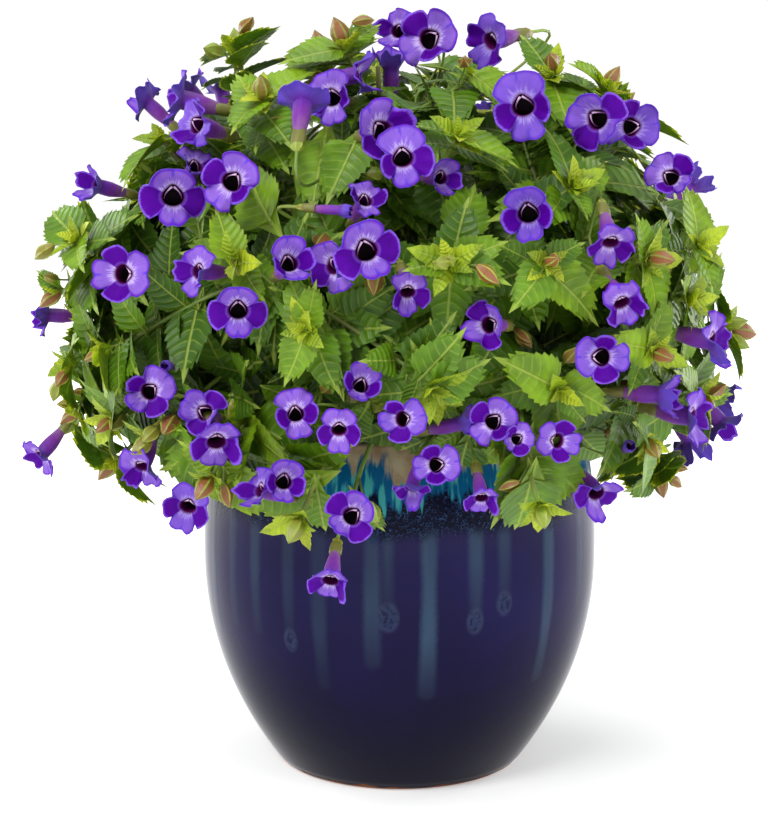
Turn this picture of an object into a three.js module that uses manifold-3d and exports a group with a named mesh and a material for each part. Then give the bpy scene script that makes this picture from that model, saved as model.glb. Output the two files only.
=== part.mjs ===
// A wishbone flower (torenia) in full bloom, planted in a glazed ceramic pot.
// Millimetres, +Z up. The origin is the centre of the pot's foot, on the surface that it stands on,
// and -Y is the front.
//
// The pot is turned, so it is a lathe. Soil fills it to 15 mm under the lip. Leafy stems stand in
// holes in the soil and arch out to the surface of the mound; twigs leave them there and carry the
// leaves and the buds. Each spray of blooms sits on the end of a twig of its own.

import * as THREE from 'three';
import { mergeVertices } from 'three/addons/utils/BufferGeometryUtils.js';
import Module from 'manifold-3d';

const wasm = await Module();
wasm.setup();

const V = (x, y, z) => new THREE.Vector3(x, y, z);
const UP = V(0, 0, 1);
// A direction that no rod runs along, to start its corners from.
const ASKEW = V(0.91, 0.38, 0.17);
// The part of a direction that is square to the way ahead.
function squareTo(direction, ahead) {
  return direction.clone().addScaledVector(ahead, -direction.dot(ahead)).normalize();
}
const radians = THREE.MathUtils.degToRad;
const lerp = THREE.MathUtils.lerp;
const GOLDEN_ANGLE = Math.PI * (3 - Math.sqrt(5));
const GOLDEN_SHARE = (Math.sqrt(5) - 1) / 2;

// Driving dimensions, in millimetres.

const GAP = 0.35;
const POT = {
  height: 220, bellyRadius: 125, bellyHeight: 138, footRadius: 78, lipRadius: 115, swell: 2.2,
  wall: 10, floor: 14, sides: 32, drains: 3, drainRadius: 6, drainCircle: 36,
};
const SOIL = { top: 205, crown: 208, crownRadius: 70, holeDepth: 14 };
const MOUND = { centre: 300, radius: 212, up: 165, down: 165, upperPower: 2, lowerPower: 3 };
const STEMS = {
  count: 16, radius: 2.4, tipRadius: 1.4, sides: 4, steps: 6, lowest: 220, highest: 448, reach: 0.93,
  innerFoot: 16, outerFoot: 60, collar: 4, lean: 6, rise: 70, outerPull: [-60, 60], innerPull: [-14, -60],
};
const TWIG = {
  radius: 1.2, sides: 3, steps: 3, straightest: 0.93, shortest: 18,
  leaveAhead: 0.4, bendNear: 0.4, bendFar: 0.25,
  starts: [0.3, 0.36, 0.42, 0.48, 0.54, 0.6, 0.66, 0.72, 0.78, 0.84],
};
// A node on a rod, and how far a twig stands off it before it turns its own way.
const NODE_LENGTH = 2.6;
const NODE_OUT = { twig: 1.8, stalk: 1.6, ahead: 1.4 };
const SHOOTS = { candidates: 200, most: 50, lowest: 175, highest: 460, apart: 42 };
const LEAF = {
  shortest: 37, longest: 50, widthShare: 0.64, thickness: 1.6, neck: 1.1, fold: 0.32, droops: [0.08, 0.3],
  most: 163,
};
const BUD = { length: 15, radius: 3.6, belly: 0.45, share: 0.55 };
const BLOOM = { width: 33, length: 37, calyxRadius: 3.9, throatRadius: 6.6, throatWall: 1.5, stalk: 0.95 };
const BACK_SPRAYS = { count: 9, lowest: 205, highest: 435, ring: 25, blooms: 3 };

// The sight lines of the picture, as a pinhole: a pixel and the mound's surface give a place.
const SIGHT = { eye: V(-9.9, -1050, 365), pitch: radians(8), focalPixels: 1663, centre: [384, 419] };

// The sprays at the front. One row is one bloom: pixel across, pixel down, degrees turned to the
// right, degrees lifted, degrees rolled clockwise, width in mm, depth as a share of the mound's own.
const SEEN_SPRAYS = [
  [[178, 100, -78, 12, 0, 34, 1], [195, 124, -40, 12, -50, 31, 1]],
  [[173, 197, 0, -5, 0, 37, 1], [231, 182, -8, 0, 40, 33, 1], [196, 165, 20, 30, 0, 26, 0.86]],
  [[95, 186, -50, 10, 40, 26, 1]],
  [[303, 101, 170, 55, 0, 30, 1], [331, 98, -20, 5, -10, 31, 0.97], [361, 75, 80, 10, 0, 28, 0.97]],
  [[384, 131, 25, 5, -45, 35, 1], [403, 159, 5, -10, -8, 33, 1.02], [442, 178, 30, 0, 0, 24, 0.84]],
  [[342, 211, 75, -5, 0, 15, 0.97], [366, 199, 20, 30, 0, 24, 0.92]],
  [[367, 251, 8, 0, -22, 36, 1.02], [332, 267, -35, -5, -10, 28, 0.96], [408, 294, 10, -35, 0, 24, 0.94]],
  [[290, 263, 15, 15, -15, 29, 0.98]],
  [[121, 274, -25, 0, 90, 33, 1]],
  [[196, 272, -45, 0, 20, 27, 0.98], [238, 311, 0, -8, 0, 32, 1]],
  [[428, 39, -12, 5, 63, 36, 1], [396, 31, -30, 10, 30, 27, 0.95], [391, 65, 0, 70, 0, 28, 0.93],
    [488, 42, -50, -10, 45, 31, 1]],
  [[523, 107, -5, -8, -12, 37, 1.02]],
  [[597, 120, -15, -5, -45, 35, 1.03], [632, 127, 20, 0, 80, 33, 0.98]],
  [[671, 177, -5, 10, -55, 29, 1.02]],
  [[528, 214, -5, -5, -8, 34, 1.01]],
  [[611, 245, 15, -50, 10, 27, 1], [623, 305, 30, -40, -30, 27, 1.02]],
  [[487, 325, -25, 0, 70, 27, 0.97]],
  [[602, 357, 5, 0, -90, 30, 1.01]],
  [[715, 342, 65, -12, -30, 33, 1.05]],
  [[662, 396, 70, -5, 0, 29, 1], [695, 418, 65, -10, -20, 33, 1.03]],
  [[628, 447, 20, 10, 0, 15, 0.95], [598, 495, 30, -30, 10, 29, 1.02]],
  [[493, 422, 0, 0, 45, 27, 1], [517, 439, 10, 5, 60, 19, 1.04], [463, 424, 70, 10, 0, 22, 0.97],
    [559, 441, 25, -3, -80, 24, 1]],
  [[436, 465, 0, 0, 80, 25, 1.03], [411, 490, -20, -50, 0, 21, 1.07]],
  [[482, 500, 10, -45, 0, 21, 1.06]],
  [[401, 419, -20, 0, 80, 25, 1.01], [361, 385, 10, 15, 20, 26, 0.98]],
  [[339, 431, 0, -22, 0, 24, 1.01], [296, 414, 5, 5, -10, 27, 0.99]],
  [[351, 516, -5, 5, 50, 29, 1.12], [330, 583, -10, -45, 10, 25, 1.2]],
  [[257, 490, -60, 10, 0, 25, 1.04], [284, 482, 10, 0, 10, 27, 1.06]],
  [[187, 508, -15, -25, 20, 28, 1.03], [142, 469, -25, -50, -20, 27, 1.04]],
  [[204, 412, -20, 10, -60, 27, 0.98], [217, 444, 10, -35, 0, 31, 1.02]],
  [[148, 392, -12, -5, 50, 29, 1], [168, 366, -30, 0, 0, 13, 0.93]],
  [[40, 457, -55, -45, 0, 27, 1.05]],
  [[45, 316, -70, 0, 0, 26, 1]],
];

// The shoots that stand out at the outline, and the tufts that hang over the pot:
// pixel across, pixel down, depth as a share of the mound's own.
const SEEN_SHOOTS = [
  [76, 238, 1], [60, 292, 1], [70, 362, 1], [106, 350, 0.97], [62, 422, 1], [112, 420, 0.98],
  [150, 438, 1], [237, 52, 0.99], [345, 46, 0.99], [470, 70, 0.97], [552, 76, 0.98], [606, 90, 1.01],
  [700, 245, 1.03], [648, 262, 1], [688, 300, 1], [655, 352, 1], [648, 440, 1], [300, 520, 1.1],
  [540, 506, 1.1], [210, 478, 1.02], [430, 392, 1], [305, 330, 0.98], [450, 262, 0.98], [548, 262, 0.98],
];

// Draws and points.

// A draw between 0 and 1 that depends on nothing but its two seeds.
function draw(item, purpose) {
  const wave = Math.sin(item * 127.1 + purpose * 311.7 + 17.3) * 43758.5453;
  return wave - Math.floor(wave);
}
const between = (low, high, item, purpose) => lerp(low, high, draw(item, purpose));
const step = (from, direction, distance) => from.clone().addScaledVector(direction, distance);

function bezier(points, t) {
  let left = points.map((p) => p.clone());
  while (left.length > 1) left = left.slice(1).map((p, i) => left[i].lerp(p, t));
  return left[0];
}
function samplePath(points, count) {
  return Array.from({ length: count + 1 }, (_, i) => bezier(points, i / count));
}

// The shortest distance between the segments a0-a1 and b0-b1.
function segmentDistance(a0, a1, b0, b1) {
  const alongA = a1.clone().sub(a0);
  const alongB = b1.clone().sub(b0);
  const apart = a0.clone().sub(b0);
  const [aa, ab, bb] = [alongA.lengthSq(), alongA.dot(alongB), alongB.lengthSq()];
  const [pa, pb] = [alongA.dot(apart), alongB.dot(apart)];
  const cross = aa * bb - ab * ab;
  let s = cross > 1e-9 ? THREE.MathUtils.clamp((ab * pb - pa * bb) / cross, 0, 1) : 0;
  const t = THREE.MathUtils.clamp((ab * s + pb) / bb, 0, 1);
  s = THREE.MathUtils.clamp((ab * t - pa) / aa, 0, 1);
  return step(a0, alongA, s).distanceTo(step(b0, alongB, t));
}

// The mound that the plant grows into.

// How far up or down a point is, as a share of the mound, and the power that shapes that half.
function moundRise(z) {
  const rise = z - MOUND.centre;
  return rise > 0 ? [rise / MOUND.up, MOUND.upperPower] : [-rise / MOUND.down, MOUND.lowerPower];
}
function moundShare(p) {
  const [rise, power] = moundRise(p.z);
  return Math.pow(Math.hypot(p.x, p.y) / MOUND.radius, power) + Math.pow(rise, power);
}
// The point at a height and an angle round the pot, at a share of the mound's own depth.
function moundPoint(z, angle, share) {
  const [rise, power] = moundRise(z);
  const reach = MOUND.radius * share * Math.pow(Math.max(0, 1 - Math.pow(rise, power)), 1 / power);
  return V(reach * Math.cos(angle), reach * Math.sin(angle), lerp(MOUND.centre, z, share));
}
// The direction that leads straight out of the mound at a point.
function moundOut(p) {
  const tall = (p.z > MOUND.centre ? MOUND.up : MOUND.down) ** 2;
  return V(p.x, p.y, ((p.z - MOUND.centre) * MOUND.radius ** 2) / tall).normalize();
}

const sightAhead = V(0, Math.cos(SIGHT.pitch), -Math.sin(SIGHT.pitch));
const sightRight = V(1, 0, 0);
const sightUp = sightRight.clone().cross(sightAhead);

// Where the line of sight through a pixel first meets the mound, or passes it closest.
function onMound(across, down, depth) {
  const sight = sightAhead.clone()
    .addScaledVector(sightRight, (across - SIGHT.centre[0]) / SIGHT.focalPixels)
    .addScaledVector(sightUp, (SIGHT.centre[1] - down) / SIGHT.focalPixels)
    .normalize();
  const [nearest, furthest, stride] = [750, 1300, 2];
  let best = null;
  for (let distance = nearest; distance < furthest; distance += stride) {
    const point = step(SIGHT.eye, sight, distance);
    const inner = V(point.x, point.y, point.z - MOUND.centre).divideScalar(depth);
    const share = moundShare(inner.add(V(0, 0, MOUND.centre)));
    if (!best || share < best.share) best = { point, share, sight };
    if (share < 1) break;
  }
  return best;
}

// Where each bloom is and how it faces. A bloom's place is the middle of its mouth.

function bloomAt(place, ahead, upward, roll, width) {
  const top = squareTo(upward, ahead);
  const side = top.clone().cross(ahead);
  const up = top.multiplyScalar(Math.cos(roll)).addScaledVector(side, Math.sin(roll));
  const scale = width / BLOOM.width;
  const length = BLOOM.length * lerp(0.4, 1, Math.min(1, scale));
  return { place, ahead, up, width, scale, length, foot: step(place, ahead, -length) };
}
function seenBloom([across, down, turn, lift, roll, width, depth]) {
  const { point, sight } = onMound(across, down, depth);
  const ahead = sight.clone().multiplyScalar(-Math.cos(radians(turn)) * Math.cos(radians(lift)))
    .addScaledVector(sightRight, Math.sin(radians(turn)) * Math.cos(radians(lift)))
    .addScaledVector(sightUp, Math.sin(radians(lift)))
    .normalize();
  return bloomAt(point, ahead, sightUp, radians(roll), width);
}
// A cluster of blooms round one point at the back of the mound.
function backSpray(number) {
  const { count, lowest, highest, ring, blooms } = BACK_SPRAYS;
  const z = lerp(lowest, highest, (number + 0.5) / count);
  const angle = Math.PI * (0.5 + (((number * GOLDEN_SHARE) % 1) - 0.5) * 0.94);
  const middle = moundPoint(z, angle, 1);
  const out = moundOut(middle);
  const side = V(-Math.sin(angle), Math.cos(angle), 0);
  const rise = out.clone().cross(side);
  const size = number % 4 === 3 ? blooms - 1 : blooms;
  return Array.from({ length: size }, (_, k) => {
    const item = number * 7 + k;
    const turn = (k / size + 0.2 * draw(item, 1)) * 2 * Math.PI;
    const aside = side.clone().multiplyScalar(Math.cos(turn)).addScaledVector(rise, Math.sin(turn));
    const place = step(middle, aside, ring * between(0.85, 1.1, item, 2))
      .addScaledVector(out, between(-6, 5, item, 3));
    const ahead = step(out, aside, 0.35).add(V(0, 0, between(-0.45, 0.2, item, 4))).normalize();
    return bloomAt(place, ahead, V(0, 0, 1), radians(between(-70, 70, item, 5)), between(27, 35, item, 6));
  });
}
const sprays = [
  ...SEEN_SPRAYS.map((rows) => ({ blooms: rows.map(seenBloom), sightline: true })),
  ...Array.from({ length: BACK_SPRAYS.count }, (_, number) => ({ blooms: backSpray(number) })),
];

// A bloom that would cross one before it moves in or out, until it is clear: along the line of sight
// at the front, and straight out of the mound at the back.
const CROWDED = { margin: 1, mouthDepth: 5.5, shifts: [0, 5, -5, 10, -10, 15, -15, 20, -20, 26, -26] };

function bloomSamples({ place, ahead, up, width, length, scale }) {
  const side = up.clone().cross(ahead);
  const ring = (radius, lift) => Array.from({ length: 12 }, (_, i) => step(place, ahead, lift)
    .addScaledVector(side, radius * Math.cos((i * Math.PI) / 6))
    .addScaledVector(up, radius * Math.sin((i * Math.PI) / 6)));
  const tube = [0.25, 0.5, 0.75, 1].flatMap((share) => ring(lerp(6, 2, share) * scale, -share * length));
  return [...ring(width / 2, 2.5 * scale), ...ring(width / 3, 1), ...tube];
}
function isInside(p, bloom, margin) {
  const offset = p.clone().sub(bloom.place);
  const forward = offset.dot(bloom.ahead);
  const aside = offset.addScaledVector(bloom.ahead, -forward).length();
  const nearMouth = Math.abs(forward - 1) < CROWDED.mouthDepth * bloom.scale + margin;
  const inMouth = nearMouth && aside < bloom.width / 2 + margin;
  const besideTube = forward < 0 && forward > -bloom.length - margin;
  const inTube = besideTube && aside < BLOOM.throatRadius * bloom.scale + margin;
  return inMouth || inTube;
}
const crossEachOther = (a, b) => bloomSamples(a).some((p) => isInside(p, b, CROWDED.margin))
  || bloomSamples(b).some((p) => isInside(p, a, CROWDED.margin));

const settled = [];
sprays.forEach((spray) => {
  spray.blooms = spray.blooms.map((bloom) => {
    const way = spray.sightline ? bloom.place.clone().sub(SIGHT.eye).normalize() : moundOut(bloom.place);
    const moved = (shift) => ({
      ...bloom, place: step(bloom.place, way, shift), foot: step(bloom.foot, way, shift),
    });
    const isClear = (distance) => !settled.some((other) => crossEachOther(moved(distance), other));
    const shift = CROWDED.shifts.find(isClear);
    if (shift === undefined) spray.crosses = true;
    settled.push(moved(shift ?? 0));
    return settled[settled.length - 1];
  });
});

// Room: what stands in the way of a rod that is still to be laid.

const potRadius = (z) => {
  const { bellyRadius, bellyHeight, footRadius, lipRadius, height, swell } = POT;
  const low = z < bellyHeight;
  const share = low ? (bellyHeight - z) / bellyHeight : (z - bellyHeight) / (height - bellyHeight);
  return bellyRadius - (bellyRadius - (low ? footRadius : lipRadius)) * Math.pow(share, swell);
};
const insideRadius = (z) => potRadius(z) - POT.wall;

const ROOM = { rod: 1.2, corolla: 2, rim: 5, sample: 6 };
// Where a spray's stalks meet: how far each runs past the meeting point, how far behind it the twig
// ends, and how the point is searched for, in layers behind the blooms and further and further astray.
const ROOT = {
  past: 0.6, seat: 1.1 + GAP, tested: 4, attempts: 600, nearest: 8, layers: 25, layer: 1.2, stray: 0.15,
  bends: [0.6, 0.45, 0.3], leastOut: 0.15, leastAhead: 0.4,
};
const rods = [];

function layRod(line, radius, owner) {
  line.slice(1).forEach((to, i) => rods.push({ from: line[i], to, radius, owner }));
}
// Whether a point keeps its distance from the pot's wall and the soil, and from every mouth of a bloom.
function pointIsFree(p, owners) {
  const radius = Math.hypot(p.x, p.y);
  if (p.z < POT.height + ROOM.rim) {
    const z = Math.min(p.z, POT.height);
    if (radius > insideRadius(z) - ROOM.rim && radius < potRadius(z) + ROOM.rim) return false;
    if (radius < potRadius(z) && p.z < SOIL.crown + ROOM.rim) return false;
  }
  return sprays.every((spray) => spray.blooms.every((bloom) => {
    if (owners.includes(bloom)) return true;
    const offset = p.clone().sub(bloom.place);
    const forward = offset.dot(bloom.ahead);
    const aside = offset.addScaledVector(bloom.ahead, -forward).length();
    const depth = 6 * bloom.scale + ROOM.corolla;
    return forward < -depth || forward > depth || aside > bloom.width / 2 + ROOM.corolla;
  }));
}
function lineIsFree(line, radius, owners) {
  for (let i = 1; i < line.length; i += 1) {
    const [from, to] = [line[i - 1], line[i]];
    const samples = Math.ceil(from.distanceTo(to) / ROOM.sample);
    for (let k = 0; k <= samples; k += 1) {
      if (!pointIsFree(from.clone().lerp(to, k / samples), owners)) return false;
    }
    const near = (rod) => segmentDistance(from, to, rod.from, rod.to) < radius + rod.radius + ROOM.rod;
    if (rods.some((rod) => !owners.includes(rod.owner) && near(rod))) return false;
  }
  return true;
}
sprays.forEach((spray) => spray.blooms.forEach((bloom) => {
  const waist = step(bloom.foot, bloom.ahead, bloom.length * 0.3);
  layRod([waist, bloom.place], BLOOM.throatRadius * bloom.scale, bloom);
  layRod([bloom.foot, waist], BLOOM.calyxRadius, bloom);
}));

// The stems: straight up out of the soil, then over in an arch to the mound's surface.

function growStem(number) {
  const share = (number + 0.5) / STEMS.count;
  const [attempts, turn, shrink] = [60, 0.1, 0.004];
  for (let attempt = 0; attempt < attempts; attempt += 1) {
    const angle = number * GOLDEN_ANGLE + attempt * turn * (attempt % 2 ? 1 : -1);
    const end = moundPoint(lerp(STEMS.lowest, STEMS.highest, share), angle, STEMS.reach - shrink * attempt);
    const out = V(Math.cos(angle), Math.sin(angle), 0);
    const footRadius = lerp(STEMS.outerFoot, STEMS.innerFoot, share);
    const foot = V(footRadius * out.x, footRadius * out.y, SOIL.crown - SOIL.holeDepth);
    const collar = step(foot, UP, SOIL.holeDepth + STEMS.collar);
    const [pullOut, pullUp] = STEMS.outerPull.map((pull, i) => lerp(pull, STEMS.innerPull[i], share));
    const bends = [
      step(step(collar, out, STEMS.lean), UP, STEMS.rise), step(step(end, out, pullOut), UP, pullUp),
    ];
    const path = [collar, ...bends, end];
    const line = [foot, ...samplePath(path, STEMS.steps)];
    const stem = { path, line, out, twigs: [] };
    if (lineIsFree(line.slice(2), STEMS.radius, [stem])) {
      layRod(line, STEMS.radius, stem);
      return stem;
    }
  }
  throw new Error(`stem ${number} finds no way`);
}
const stems = Array.from({ length: STEMS.count }, (_, number) => growStem(number));

// The twigs. Each leaves the nearest stem that lets it pass clear of all the rest.

function growTwig(end, out) {
  const [beside, detour, busy, tries, clearOf] = [0.03, 0.35, 6, 50, 12];
  const starts = stems.flatMap((stem) => TWIG.starts.map((at) => {
    const from = bezier(stem.path, at);
    const ahead = bezier(stem.path, at + beside).sub(bezier(stem.path, at - beside)).normalize();
    const reach = end.distanceTo(from);
    const toward = end.clone().sub(from).normalize();
    const straight = toward.dot(ahead);
    const taken = stem.twigs.some((twig) => twig.at === at);
    const cost = reach * (1 + detour * (1 - straight)) + busy * stem.twigs.length;
    return { stem, at, from, ahead, toward, reach, straight, taken, cost };
  })).filter(({ straight, taken, reach }) => straight < TWIG.straightest && !taken && reach > TWIG.shortest);
  starts.sort((a, b) => a.cost - b.cost);
  for (const { stem, at, from, ahead, toward, reach } of starts.slice(0, tries)) {
    const leave = toward.clone().lerp(ahead, TWIG.leaveAhead).normalize();
    const path = [from, step(from, leave, reach * TWIG.bendNear), step(end, out, -reach * TWIG.bendFar), end];
    const line = samplePath(path, TWIG.steps);
    const clear = [step(from, line[1].clone().sub(from).normalize(), clearOf), ...line.slice(1)];
    const ownStem = stem.line.slice(1);
    if (lineIsFree(line, TWIG.radius, [stem]) && !meets(clear, ownStem, STEMS.radius)
      && stem.twigs.every((twig) => !meets(clear, twig.line, TWIG.radius))) {
      const twig = { line, end, at };
      stem.twigs.push(twig);
      layRod(line, TWIG.radius, stem);
      return twig;
    }
  }
  return null;
}
function meets(line, other, radius) {
  return line.slice(1).some((to, i) => other.slice(1).some(
    (otherTo, k) => segmentDistance(line[i], to, other[k], otherTo) < TWIG.radius + radius + ROOM.rod / 2,
  ));
}

// A spray's stalks meet behind its blooms, and a twig comes up to that point from inside the mound.
function growSpray(spray) {
  if (trySpray(spray)) return;
  spray.crosses = true;
  if (!trySpray(spray)) throw new Error(`spray ${sprays.indexOf(spray)} finds no stem`);
}
function trySpray(spray) {
  const middle = V(0, 0, 0);
  spray.blooms.forEach((bloom) => middle.addScaledVector(bloom.foot, 1 / spray.blooms.length));
  for (let attempt = 0; attempt < ROOT.attempts; attempt += 1) {
    const away = V(draw(attempt, 21) - 0.5, draw(attempt, 22) - 0.5, draw(attempt, 23) - 0.5);
    const out = moundOut(middle);
    const root = step(middle, out, -ROOT.nearest - (attempt % ROOT.layers) * ROOT.layer)
      .addScaledVector(away, attempt * ROOT.stray);
    const stalks = spray.blooms.map((bloom) => {
      const bendShare = ROOT.bends[attempt % ROOT.bends.length];
      const bend = step(bloom.foot, bloom.ahead, -bendShare * bloom.foot.distanceTo(root));
      const line = samplePath([bloom.foot, bend, root], 2);
      line[2].addScaledVector(line[2].clone().sub(line[1]).normalize(), ROOT.past);
      return line;
    });
    const opens = (line, i) => line[1].clone().sub(line[2]).normalize().dot(out) > ROOT.leastOut
      && line[0].clone().sub(line[1]).normalize().dot(spray.blooms[i].ahead) > ROOT.leastAhead;
    const own = (bloom) => (spray.crosses ? [spray, ...spray.blooms] : [spray, bloom]);
    const isFree = (line, i) => lineIsFree(line, BLOOM.stalk, own(spray.blooms[i]));
    if (!stalks.every((line, i) => opens(line, i) && isFree(line, i))) continue;
    stalks.forEach((line) => layRod(line, BLOOM.stalk, spray));
    const twig = growTwig(step(root, out, -ROOT.tested), out);
    if (twig) {
      twig.end = step(root, out, -ROOT.seat);
      twig.line[TWIG.steps] = twig.end;
      spray.stalks = stalks;
      spray.twig = twig;
      return true;
    }
    rods.length -= stalks.length * (stalks[0].length - 1);
  }
  return false;
}
sprays.forEach(growSpray);

// The leafy shoots: those that the outline shows, then more, evenly over the mound.
const shoots = [];
function growShoot(end) {
  const out = moundOut(end);
  const twig = pointIsFree(end, []) ? growTwig(end, out) : null;
  if (twig) shoots.push(twig);
  return twig;
}
SEEN_SHOOTS.forEach(([across, down, depth]) => {
  const { point } = onMound(across, down, depth);
  if (!growShoot(point)) growShoot(step(point, moundOut(point), -12));
});
for (let i = 0; i < SHOOTS.candidates && shoots.length < SHOOTS.most; i += 1) {
  const z = lerp(SHOOTS.lowest, SHOOTS.highest, (i * GOLDEN_SHARE) % 1);
  const end = moundPoint(z, i * GOLDEN_ANGLE * 1.7, between(0.87, 0.98, i, 8));
  const ends = stems.flatMap(({ line, twigs }) => [line[line.length - 1], ...twigs.map((twig) => twig.end)]);
  if (ends.every((other) => other.distanceTo(end) > SHOOTS.apart)) growShoot(end);
}

// Closed surfaces, made ring by ring.

// Whether an edge of one triangle passes through another.
function pierces(edges, triangle) {
  return edges.some((from, i) => {
    const way = edges[(i + 1) % 3].clone().sub(from);
    const ray = new THREE.Ray(from, way.clone().normalize());
    const hit = ray.intersectTriangle(...triangle, false, V(0, 0, 0));
    return hit !== null && hit.distanceTo(from) < way.length();
  });
}

class Surface {
  points = [];
  faces = [];

  ring(list) {
    return list.map((p) => this.points.push(p) - 1);
  }

  // Joins two rings that turn the same way round the way ahead, with the least twist.
  bridge(a, b) {
    const count = Math.max(a.length, b.length);
    const at = (ring, i) => ring[Math.floor((i * ring.length) / count) % ring.length];
    const turned = (ring, k) => [...ring.slice(k), ...ring.slice(0, k)];
    const spread = (from, to) => Array.from({ length: count }).reduce(
      (sum, _, i) => sum + this.points[at(from, i)].distanceToSquared(this.points[at(to, i)]), 0,
    );
    const matched = count % Math.min(a.length, b.length) === 0;
    const pairs = matched ? [[a, b]] : a.flatMap((_, j) => b.map((__, k) => [turned(a, j), turned(b, k)]));
    const [from, to] = pairs.reduce((best, pair) => (spread(...pair) < spread(...best) ? pair : best));
    for (let i = 0; i < count; i += 1) {
      const [a0, a1, b0, b1] = [at(from, i), at(from, i + 1), at(to, i), at(to, i + 1)];
      if (a0 !== a1) this.faces.push([a0, a1, b1]);
      if (b0 !== b1) this.faces.push([a0, b1, b0]);
    }
  }

  // Joins two rings, but leaves open the sides that branches grow out of.
  branch(a, b, branches) {
    const sides = a.map((p, i) => [p, a[(i + 1) % a.length], b[(i + 1) % a.length], b[i]]);
    const axis = middleOf([...a, ...b].map((p) => this.points[p]));
    const outs = sides.map((side) => middleOf(side.map((p) => this.points[p])).sub(axis).normalize());
    const free = new Set(sides.keys());
    branches.forEach(({ direction, grow }) => {
      const facing = (k) => outs[k].dot(direction);
      const best = [...free].reduce((pick, k) => (facing(k) > facing(pick) ? k : pick));
      free.delete(best);
      grow(sides[best], outs[best]);
    });
    free.forEach((k) => {
      const [a0, a1, b1, b0] = sides[k];
      this.faces.push([a0, a1, b1], [a0, b1, b0]);
    });
  }

  // Ends a ring in one point.
  point(ring, tip) {
    ring.forEach((p, i) => this.faces.push([p, ring[(i + 1) % ring.length], tip]));
  }

  // Ends a ring flat, facing ahead or back.
  cap(ring, ahead) {
    for (let i = 1; i < ring.length - 1; i += 1) {
      this.faces.push(ahead ? [ring[0], ring[i], ring[i + 1]] : [ring[0], ring[i + 1], ring[i]]);
    }
  }

  // The faces that cross another with which they share no corner.
  crossings() {
    const items = this.faces.map((face, i) => {
      const corners = face.map((p) => this.points[p]);
      return { i, face, corners, box: new THREE.Box3().setFromPoints(corners) };
    });
    const touch = (a, b) => a.face.some((p) => b.face.includes(p));
    const isCrossed = (a) => items.some((b) => a.box.intersectsBox(b.box) && !touch(a, b)
      && (pierces(a.corners, b.corners) || pierces(b.corners, a.corners)));
    return items.filter(isCrossed).map(({ i }) => i);
  }

  solid() {
    return new wasm.Manifold(new wasm.Mesh({
      numProp: 3,
      vertProperties: new Float32Array(this.points.flatMap((p) => [p.x, p.y, p.z])),
      triVerts: new Uint32Array(this.faces.flat()),
    }));
  }
}

function solidOf(geometry) {
  const bare = geometry.clone();
  bare.deleteAttribute('normal');
  bare.deleteAttribute('uv');
  const merged = mergeVertices(bare, 1e-4);
  return new wasm.Manifold(new wasm.Mesh({
    numProp: 3,
    vertProperties: new Float32Array(merged.attributes.position.array),
    triVerts: new Uint32Array(merged.index.array),
  }));
}
function geometryOf(solid) {
  const { numProp, vertProperties, triVerts } = solid.getMesh();
  const positions = new Float32Array((vertProperties.length / numProp) * 3);
  for (let i = 0; i < positions.length / 3; i += 1) {
    positions.set(vertProperties.subarray(i * numProp, i * numProp + 3), i * 3);
  }
  const geometry = new THREE.BufferGeometry()
    .setAttribute('position', new THREE.BufferAttribute(positions, 3))
    .setIndex(new THREE.BufferAttribute(new Uint32Array(triVerts), 1));
  geometry.computeVertexNormals();
  return geometry;
}
function ringAround(middle, side, up, radius, count) {
  return Array.from({ length: count }, (_, i) => {
    const angle = (i / count) * 2 * Math.PI;
    return step(step(middle, side, radius * Math.cos(angle)), up, radius * Math.sin(angle));
  });
}
const middleOf = (points) => points.reduce((sum, p) => sum.addScaledVector(p, 1 / points.length), V(0, 0, 0));
const lengthOf = (line) => line.slice(1).reduce((sum, p, i) => sum + p.distanceTo(line[i]), 0);

// The point at a distance along a line, and the way ahead there.
function alongLine(line, distance) {
  let left = distance;
  for (let i = 1; i < line.length; i += 1) {
    const length = line[i].distanceTo(line[i - 1]);
    if (left <= length || i === line.length - 1) {
      const ahead = line[i].clone().sub(line[i - 1]).divideScalar(length);
      return { point: step(line[i - 1], ahead, left), ahead };
    }
    left -= length;
  }
  throw new Error('a line needs two points');
}

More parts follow.
